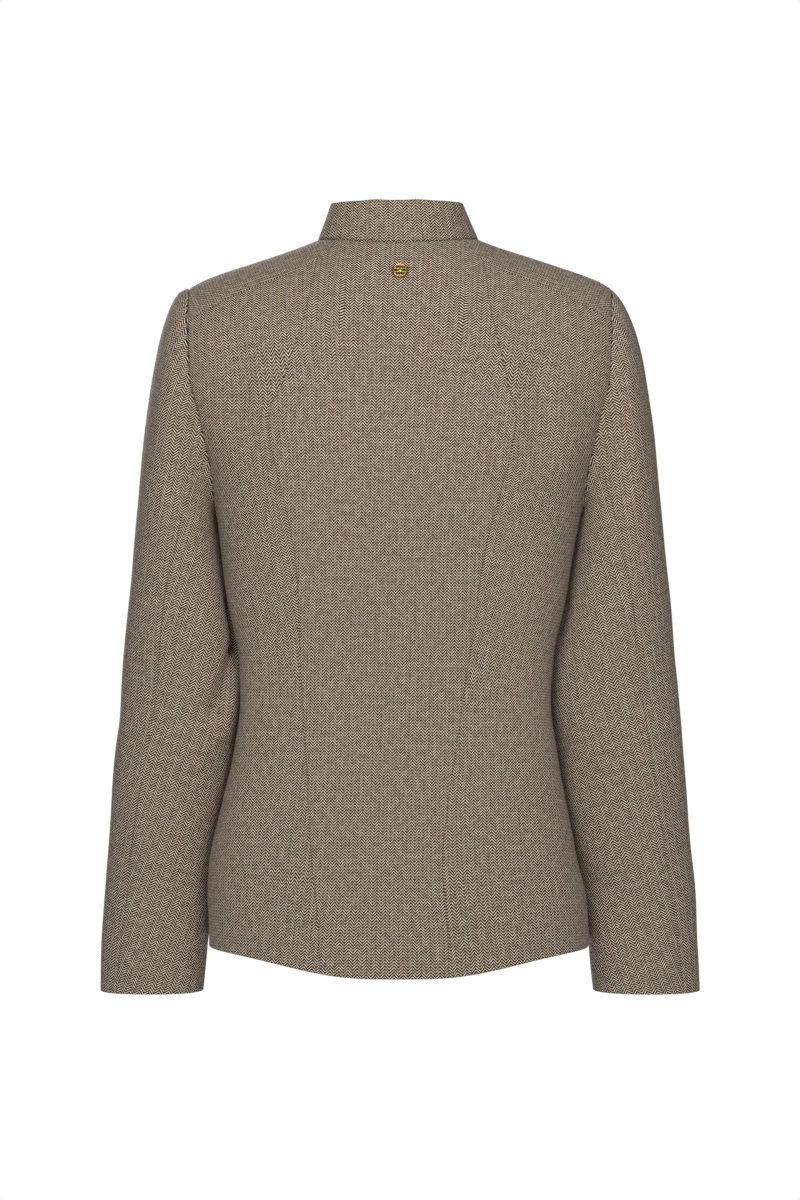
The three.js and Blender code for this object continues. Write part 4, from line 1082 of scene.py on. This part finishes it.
def herringbone():
    n = Nodes("wool_herringbone")
    uv = n.tree.nodes.new("ShaderNodeUVMap")
    uv.uv_map = "Cloth"
    at = uv.outputs[0]
    wobble = n.tree.nodes.new("ShaderNodeTexNoise")
    wobble.inputs["Scale"].default_value = 60
    wobble.inputs["Detail"].default_value = 1
    n.put(wobble.inputs["Vector"], at)
    shift = n.tree.nodes.new("ShaderNodeVectorMath")
    shift.operation = "MULTIPLY_ADD"
    n.put(shift.inputs[0], wobble.outputs["Color"])
    shift.inputs[1].default_value = (0.0007, 0.0009, 0)
    n.put(shift.inputs[2], at)
    split = n.tree.nodes.new("ShaderNodeSeparateXYZ")
    n.put(split.inputs[0], shift.outputs[0])
    u, v = split.outputs[0], split.outputs[1]
    # the twill climbs in one column and falls in the next, meeting in points
    zigzag = n.math("PINGPONG", n.math("DIVIDE", u, COLUMN), 1.0)
    phase = n.math("MULTIPLY_ADD", zigzag, 1.6, n.math("DIVIDE", v, PITCH))
    wave = n.math("SINE", n.math("MULTIPLY", phase, 2 * np.pi))
    grit = n.noise(at, 900, 2.0, 0.6)
    patches = n.noise(at, 210, 3.0, 0.6)
    level = n.math("MULTIPLY_ADD", n.math("SUBTRACT", grit, 0.5), 0.45, wave)
    level = n.math("MULTIPLY_ADD", n.math("SUBTRACT", patches, 0.5), 0.35, level)
    light = n.span(level, 0.38, 0.88)
    heather = n.noise(at, 420, 3.0, 0.65)
    dark = n.mix(n.span(heather, 0.35, 0.65), linear(24, 18, 15), linear(50, 40, 33))
    pale = n.mix(n.span(patches, 0.35, 0.65), linear(228, 209, 195), linear(255, 241, 228))
    colour = n.mix(light, dark, pale)
    # the columns lie a little darker where they meet
    edge = n.math("ABSOLUTE", n.math("SUBTRACT", zigzag, 0.5))
    colour = n.mix(n.span(edge, 0.2, 0.5, 0.0, 0.3), colour, linear(52, 42, 35))
    # the yarn is dyed a little unevenly, towards red here and towards olive there
    tints = ((130, (255, 248, 243), (250, 251, 243)), (32, (255, 250, 245), (250, 251, 244)))
    for scale, red, olive in tints:
        tint = n.mix(n.span(n.noise(at, scale, 2.0, 0.6), 0.3, 0.7), linear(*red), linear(*olive))
        colour = n.mix(1.0, colour, tint, "MULTIPLY")
    broad = n.noise(at, 9, 2.0, 0.5)
    colour = n.mix(n.span(broad, 0.3, 0.7, 0.0, 0.08), colour, linear(96, 82, 70))
    colour = n.mix(n.math("MULTIPLY", n.attribute("worn"), 0.25), colour, linear(104, 86, 70))
    # painted shade along the seams and in the sleeves' deep folds
    colour = n.mix(n.attribute("seam_shade"), colour, linear(30, 22, 17))
    # the cloth just round and under the badge lies in its shade
    away = n.tree.nodes.new("ShaderNodeVectorMath")
    away.operation = "DISTANCE"
    n.put(away.inputs[0], n.tree.nodes.new("ShaderNodeNewGeometry").outputs["Position"])
    away.inputs[1].default_value = (BADGE_AT * MM).tolist()
    shade = n.span(away.outputs["Value"], 0.0062, 0.0084, 0.9, 0.0)
    colour = n.mix(shade, colour, linear(26, 18, 12))
    n.put(n.shader.inputs["Base Color"], colour)
    n.put(n.shader.inputs["Roughness"], n.span(light, 0.0, 1.0, 0.94, 0.82))
    n.shader.inputs["Specular IOR Level"].default_value = 0.2
    n.shader.inputs["Sheen Weight"].default_value = 0.06
    n.shader.inputs["Sheen Roughness"].default_value = 0.45
    n.shader.inputs["Sheen Tint"].default_value = linear(226, 210, 194)
    nap = n.noise(at, 1700, 2.0, 0.7)
    height = n.math("MULTIPLY_ADD", nap, 0.5, light)
    n.bump(height, 0.00028, 0.7)
    return n.material


def gold_metal():
    n = Nodes("gold_metal")
    where = n.tree.nodes.new("ShaderNodeNewGeometry").outputs["Position"]
    mottled = n.noise(where, 900, 3.0, 0.6)
    colour = n.mix(n.span(mottled, 0.35, 0.7), linear(218, 186, 112), linear(176, 140, 72))
    n.put(n.shader.inputs["Base Color"], colour)
    n.shader.inputs["Metallic"].default_value = 1.0
    n.put(n.shader.inputs["Roughness"], n.span(mottled, 0.3, 0.7, 0.22, 0.36))
    n.bump(n.noise(where, 2600, 2.0, 0.5), 0.00006, 0.5)
    return n.material


def dark_horn():
    n = Nodes("dark_horn")
    where = n.tree.nodes.new("ShaderNodeNewGeometry").outputs["Position"]
    streak = n.tree.nodes.new("ShaderNodeTexNoise")
    stretch = n.tree.nodes.new("ShaderNodeMapping")
    stretch.inputs["Scale"].default_value = (60, 60, 380)
    n.put(stretch.inputs["Vector"], where)
    n.put(streak.inputs["Vector"], stretch.outputs[0])
    streak.inputs["Scale"].default_value = 1.6
    streak.inputs["Detail"].default_value = 4
    streak = streak.outputs[0]
    colour = n.mix(n.span(streak, 0.35, 0.7), linear(38, 26, 20), linear(92, 66, 46))
    n.put(n.shader.inputs["Base Color"], colour)
    n.put(n.shader.inputs["Roughness"], n.span(streak, 0.3, 0.7, 0.28, 0.4))
    n.shader.inputs["Specular IOR Level"].default_value = 0.5
    n.shader.inputs["Coat Weight"].default_value = 0.25
    n.bump(n.noise(where, 1500, 2.0, 0.5), 0.00003, 0.4)
    return n.material


def thread_material():
    n = Nodes("button_thread")
    where = n.tree.nodes.new("ShaderNodeNewGeometry").outputs["Position"]
    twist = n.noise(where, 3000, 2.0, 0.6)
    n.put(n.shader.inputs["Base Color"], n.mix(twist, linear(60, 50, 42), linear(104, 90, 76)))
    n.shader.inputs["Roughness"].default_value = 0.8
    n.bump(twist, 0.00005, 0.6)
    return n.material


BADGE_TURN = np.arcsin((BADGE_Z - SHOULDER_Z) / (RIDGE[0, 1] - SHOULDER_Z))
BADGE_AT = cloth_at(np.zeros(1), np.full(1, float(SHOULDER_Z)), np.full(1, BADGE_TURN))[0][0]
WOOL, GOLD, HORN, THREAD = herringbone(), gold_metal(), dark_horn(), thread_material()


def dress(name, grid, kinds, thick=CLOTH, rests=(), **options):
    piece, size, area = shell("cloth_" + name, grid, kinds, thick, WOOL, **options)
    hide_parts(name)
    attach(piece, "root")
    size = [float(max(0.011, s)) for s in size]
    area = min(area, size[0] * size[1])
    print("cut", name, [round(s, 4) for s in size], round(area, 5))
    return piece


# Lean of the grain and width of the columns at heights, as far as each piece's differ from its flat cut
CENTRE_WEAVE = [
    (-640, 0, 1.14), (-599, 0, 1.11), (-565, 0, 1.03), (-480, 0, 1), (-360, 0, 0.995), (-293, 0, 0.98),
    (-225, 0, 0.99), (-191, 0, 1.015), (-157, 0, 1.048), (-122, 0, 1.097), (-88, 0, 1.165), (-40, 0, 1.186),
]
SIDE_WEAVE = {
    "L": [
        (-640, -1, 1.07), (-600, 0.5, 1.07), (-556, -1, 1.07), (-534, -3.5, 1.07), (-490, -4.5, 1.07),
        (-446, -3.5, 1.06), (-402, -1.5, 1.06), (-358, -6, 1.08), (-314, -8, 1.13), (-226, -4, 1.2),
        (-182, 0, 1.24), (-160, 5, 1.24), (-116, -2, 1.1), (-94, -7, 1.08), (-50, -6, 1.08),
    ],
    "R": [
        (-640, -3, 1.15), (-578, -0.5, 1.14), (-534, 2, 1.12), (-490, 2.5, 1.08), (-446, 1, 0.98),
        (-402, 3, 0.94), (-358, 9, 0.94), (-314, 8, 0.95), (-270, 6, 1.02), (-226, 3, 1.08),
        (-204, -1, 1.12), (-160, -4, 1.17), (-138, -1, 1.17), (-94, 3.5, 1.13), (-50, 3, 1.1),
    ],
}
UPPER_WEAVE = {
    "L": [(-446, 3, 1.19), (-358, -2, 1.19), (-314, 3, 1.19), (-226, 7, 1.19), (-138, 2, 1.19)],
    "R": [
        (-358, -2, 1.19), (-314, -4, 1.19), (-248, -7, 1.19), (-182, -3, 1.19), (-138, 2, 1.19),
        (-116, 5, 1.19),
    ],
}
UNDER_WEAVE = {
    "L": [
        (-650, 8, 1.19), (-534, 5, 1.19), (-490, 3.5, 1.19), (-446, 6, 1.19), (-358, 9, 1.19),
        (-314, 13, 1.19), (-270, 12, 1.17), (-226, 4, 1.15), (-204, -3, 1.15),
    ],
    "R": [
        (-650, -9, 1.2), (-600, -3, 1.2), (-534, -2, 1.2), (-490, -4.5, 1.2), (-402, -7.5, 1.2),
        (-358, -10.5, 1.19), (-314, -10, 1.19), (-270, -12, 1.17), (-226, -9, 1.15),
    ],
}
SEWN = {"left": "seam", "right": "seam", "low": "fold", "high": "seam"}
FREE_RIGHT = {**SEWN, "right": "fold"}

back_corner = [(0.1, angle_at(strip_corner(-1, True), SHOULDER_Z, True)),
               (0.9, angle_at(strip_corner(1, True), SHOULDER_Z, True))]
panel = Panel(SeamEdge(back_seam, -1, True), SeamEdge(back_seam, 1, True), back_top, back_corner)
dress("back_centre", panel.grid([6, 52, 6], "seam", "seam"), SEWN, weave=(CENTRE_WEAVE,))
for side, sign in (("left", 1), ("right", -1)):
    tag = side[0].upper()
    panel = Panel(SeamEdge(back_seam, sign, True), SideEdge(sign, True), strip_back_turn)
    dress(f"back_side_{side}", panel.grid([34], "seam", "seam"), SEWN, weave=(SIDE_WEAVE[tag],))
    shift = 0.0 if sign > 0 else 2 * np.pi
    panel = Panel(SeamEdge(front_seam, sign, False), SideEdge(sign, False, shift), strip_front_turn)
    dress(f"front_side_{side}", panel.grid([34], "seam", "seam"), SEWN)
    corner = angle_at(strip_corner(sign, False), SHOULDER_Z, False) + shift
    panel = Panel(
        SeamEdge(front_seam, sign, False), LapEdge(-sign), front_top, [(2 / 7, corner)], True,
        right_lift if sign < 0 else None,
    )
    dress(f"front_{side}", panel.grid([12, 26], "seam", "fold"), FREE_RIGHT)
    across = ticks([78.0], [0.0, 1.0], [22], "seam", "seam")[0][:, None]
    along = ticks([118.0], [0.0, 1.0], [36], "seam", "seam")[0][None, :]
    across, along = np.broadcast_arrays(across, along)
    strip = strip_surface(sign, across, along)
    dress(f"shoulder_strip_{side}", strip, {k: "seam" for k in SEWN}, grain_along_rows=True)
    kinds = {**SEWN, "high": "armhole"}
    for part, upper, count, weave in (("upper", True, 62, (UPPER_WEAVE[tag], 60)),
                                      ("under", False, 44, (UNDER_WEAVE[tag], -33))):
        *grid, hollow = sleeve_grid(tag, sign, upper, count)
        dress(f"sleeve_{part}_{side}", grid, kinds, weave=weave, hollow=hollow)

rise = np.r_[np.linspace(0, 1, 13)[:-1] * 0.94, 1 - np.array(NEAR["fold"])[::-1] / 34]
share = ticks([450.0], [0.0, 1.0], [150], "fold", "fold")[0]
rise, share = np.meshgrid(rise, share, indexing="ij")
collar_kinds = {"left": "fold", "right": "fold", "low": "seam", "high": "fold"}
weave = ([(-100, 0, 1.186), (60, 0, 1.186)],)
dress("collar", collar_surface(rise, share), collar_kinds, COLLAR_CLOTH, weave=weave)


def seat(angle, z, turn, lift):
    """A frame on the outer face of the cloth: across, up, out of it, and its origin."""
    point, normal = cloth_at(*(np.array([float(v)]) for v in (angle, z, turn)), lift)
    point, normal = point[0], normal[0]
    across = unit(np.cross([0, 0, 1.0], normal))
    return across, np.cross(normal, across), normal, point


def build(name, parts, place, finish):
    """One object from closed parts: points, faces and the number of their material."""
    across, up, normal, origin = place
    vertices, faces, slots = [], [], []
    for points, quads, slot in parts:
        faces += [[i + len(vertices) for i in face] for face in quads]
        slots += [slot] * len(quads)
        vertices += [origin + across * x + up * y + normal * z for x, y, z in points]
    mesh = bpy.data.meshes.new(name)
    mesh.from_pydata([list(v * MM) for v in vertices], [], faces)
    for material in finish:
        mesh.materials.append(material)
    mesh.polygons.foreach_set("material_index", slots)
    mesh.validate()
    mesh.shade_smooth()
    piece = bpy.data.objects.new(name, mesh)
    bpy.context.scene.collection.objects.link(piece)
    return piece


def tube_part(path, radii, sides, closed_path, slot=0):
    """A tube along points, closed on itself or with round ends."""
    path = np.asarray(path, float)
    count = len(path)
    if closed_path:
        ahead = np.roll(path, -1, 0) - np.roll(path, 1, 0)
    else:
        ahead = np.gradient(path, axis=0)
    ahead = unit(ahead)
    flat = np.array([0, 0, 1.0])
    side = unit(np.cross(ahead, flat))
    over = np.cross(side, ahead)
    radii = np.broadcast_to(radii, count)
    around = np.arange(sides) / sides * 2 * np.pi
    rings = path[:, None] + radii[:, None, None] * (
        side[:, None] * np.cos(around)[None, :, None] + over[:, None] * np.sin(around)[None, :, None]
    )
    points = rings.reshape(-1, 3).tolist()
    faces = []
    for i in range(count if closed_path else count - 1):
        j = (i + 1) % count
        for k in range(sides):
            m = (k + 1) % sides
            faces.append([i * sides + k, i * sides + m, j * sides + m, j * sides + k])
    if not closed_path:
        faces.append(list(range(sides))[::-1])
        faces.append([(count - 1) * sides + k for k in range(sides)])
    return points, faces, slot


def turned_part(profile, sides, slot=0):
    """A closed solid turned about the axis from pairs of radius and height, both ends on the axis."""
    profile = np.asarray(profile, float)
    around = np.arange(sides) / sides * 2 * np.pi
    points = [[0, 0, profile[0, 1]]]
    for r, h in profile[1:-1]:
        points += [[r * np.cos(a), r * np.sin(a), h] for a in around]
    points.append([0, 0, profile[-1, 1]])
    faces = []
    rings = len(profile) - 2
    for k in range(sides):
        m = (k + 1) % sides
        faces.append([0, 1 + m, 1 + k])
        for i in range(rings - 1):
            a, b = 1 + i * sides, 1 + (i + 1) * sides
            faces.append([a + k, a + m, b + m, b + k])
        last = 1 + (rings - 1) * sides
        faces.append([last + k, last + m, len(points) - 1])
    return points, faces, slot


def loop(cx, cy, rx, ry, turn, z, count=40):
    around = np.arange(count) / count * 2 * np.pi
    x, y = rx * np.cos(around), ry * np.sin(around)
    return np.stack([cx + x * np.cos(turn) - y * np.sin(turn), cy + x * np.sin(turn) + y * np.cos(turn),
                     np.full(count, z)], 1)


# A pierced rosette of the builder's own: a ring, six looped petals, a domed boss and beads
parts = [tube_part(loop(0, 0, 6.02, 6.02, 0, 0.75, 96), 0.66, 14, True)]
for i in range(6):
    way = i / 6 * 2 * np.pi
    x, y = 3.85 * np.cos(way), 3.85 * np.sin(way)
    parts.append(tube_part(loop(x, y, 1.66, 1.62, way, 0.75, 40), 0.36, 10, True))
    way += np.pi / 6
    x, y = 4.95 * np.cos(way), 4.95 * np.sin(way)
    dome = [(0.6 * np.sin(a), 0.85 - 0.6 * np.cos(a)) for a in np.linspace(0, np.pi, 9)]
    bead = turned_part(dome, 14)
    parts.append(([[px + x, py + y, pz] for px, py, pz in bead[0]], bead[1], 0))
parts.append(turned_part([(0, 0.2), (1.8, 0.2), (2.0, 0.5), (1.85, 0.9), (1.3, 1.3), (0.6, 1.5), (0, 1.55)], 36))
badge = build("pierced_badge", parts, seat(0, SHOULDER_Z, BADGE_TURN, 0.0), [GOLD])
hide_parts("badge")
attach(badge, "root")


def button_parts():
    """A round sew-through button with a raised rim and four holes, and its stitches in two parallel pairs."""
    radius, thick, dish = 10.0, 4.2, 0.9
    top = [(10.0, 2.3), (9.9, 3.1), (9.5, 3.9), (8.9, 4.2), (8.2, 4.05), (7.6, 3.6), (7.0, 3.35)]
    rings = [(r, thick - dish) for r in np.linspace(6.6, 0.25, 26)]
    under = [(8.0, 0.0), (9.4, 0.5), (9.8, 1.2)]
    profile = [(0, 0.0), *under, *top, *rings, (0, thick - dish)]
    points, faces, slot = turned_part(profile, 72)
    points = np.array(points)
    for sx in (-1, 1):
        for sy in (-1, 1):
            away = np.hypot(points[:, 0] - sx * 1.9, points[:, 1] - sy * 1.9)
            upper = points[:, 2] > thick - dish - 0.4
            pit = np.clip((1.05 - away) / 0.35, 0, 1)
            points[:, 2] -= np.where(upper, 2.2 * pit * pit * (3 - 2 * pit), 0)
    made = [(points.tolist(), faces, slot)]
    for sy in (-1, 1):
        for dy in (-0.28, 0.28):
            t = np.linspace(-1, 1, 15)
            line = np.stack([1.9 * t, sy * 1.9 + dy + 0 * t, thick - dish + 0.32 - 1.4 * np.abs(t) ** 8], 1)
            made.append(tube_part(line, 0.27, 8, False, 1))
    return made


for i, z in enumerate(BUTTON_HEIGHTS):
    turn = np.arcsin(max(0.0, (z - SHOULDER_Z) / (RIDGE[0, 1] - SHOULDER_Z)))
    height = min(z, SHOULDER_Z)
    angle = np.pi if z > SHOULDER_Z else float(np.pi + TWIST(z))
    name = f"button_{i + 1}"
    place = seat(angle, height, turn, LAP_LIFT + BUTTON_SHANK)
    piece = build("horn_" + name, button_parts(), place, [HORN, THREAD])
    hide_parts(name)
    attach(piece, "root")

# A round floor of pale paper that fades out at its rim
around = np.arange(96) / 96 * 2 * np.pi
floor_mesh = bpy.data.meshes.new("floor")
floor_mesh.from_pydata([(2.4 * np.cos(a), 2.4 * np.sin(a), -1.4) for a in around], [], [list(range(96))])
floor = bpy.data.objects.new("floor", floor_mesh)
bpy.context.scene.collection.objects.link(floor)
paper = Nodes("pale_floor")
paper.shader.inputs["Base Color"].default_value = (0.95, 0.95, 0.945, 1)
paper.shader.inputs["Roughness"].default_value = 0.9
away = paper.tree.nodes.new("ShaderNodeVectorMath")
away.operation = "DISTANCE"
paper.put(away.inputs[0], paper.tree.nodes.new("ShaderNodeNewGeometry").outputs["Position"])
away.inputs[1].default_value = (0, 0, -1.4)
blend = paper.tree.nodes.new("ShaderNodeMixShader")
paper.put(blend.inputs[0], paper.span(away.outputs["Value"], 0.9, 2.3))
paper.put(blend.inputs[1], paper.shader.outputs[0])
paper.put(blend.inputs[2], paper.tree.nodes.new("ShaderNodeBsdfTransparent").outputs[0])
paper.put(paper.out.inputs["Surface"], blend.outputs[0])
floor_mesh.materials.append(paper.material)

# White all round, at its full strength only where it is seen directly
world = bpy.data.worlds.new("studio")
bpy.context.scene.world = world
world.use_nodes = True
sky = world.node_tree.nodes["Background"]
sky.inputs[0].default_value = (1, 1, 1, 1)
seen = world.node_tree.nodes.new("ShaderNodeLightPath")
strength = world.node_tree.nodes.new("ShaderNodeMapRange")
strength.inputs["To Min"].default_value = 0.2
world.node_tree.links.new(seen.outputs["Is Camera Ray"], strength.inputs["Value"])
world.node_tree.links.new(strength.outputs["Result"], sky.inputs[1])
bpy.context.scene.view_settings.view_transform = "Standard"


def lamp(name, place, aim, size, power):
    data = bpy.data.lights.new(name, "AREA")
    data.shape = "DISK"
    data.size = size
    data.energy = power
    item = bpy.data.objects.new(name, data)
    bpy.context.scene.collection.objects.link(item)
    item.location = place
    way = np.array(aim) - np.array(place)
    flat = np.hypot(way[0], way[1])
    item.rotation_euler = (np.arctan2(flat, -way[2]), 0, np.arctan2(way[1], way[0]) - np.pi / 2)


lamp("key", (-0.55, 1.8, 0.55), (0, 0, -0.3), 0.9, 22)
lamp("fill", (0.55, 1.8, 0.55), (0, 0, -0.3), 0.9, 23)
lamp("front", (0.6, -3.0, 0.6), (0, 0, -0.3), 2.0, 140)

camera = bpy.data.cameras.new("camera")
camera.sensor_width = 36
camera.lens = 102.27
view = bpy.data.objects.new("camera", camera)
bpy.context.scene.collection.objects.link(view)
view.location = (0, 3.0, -0.314)
view.rotation_euler = (np.pi / 2, 0, np.pi)
bpy.context.scene.camera = view
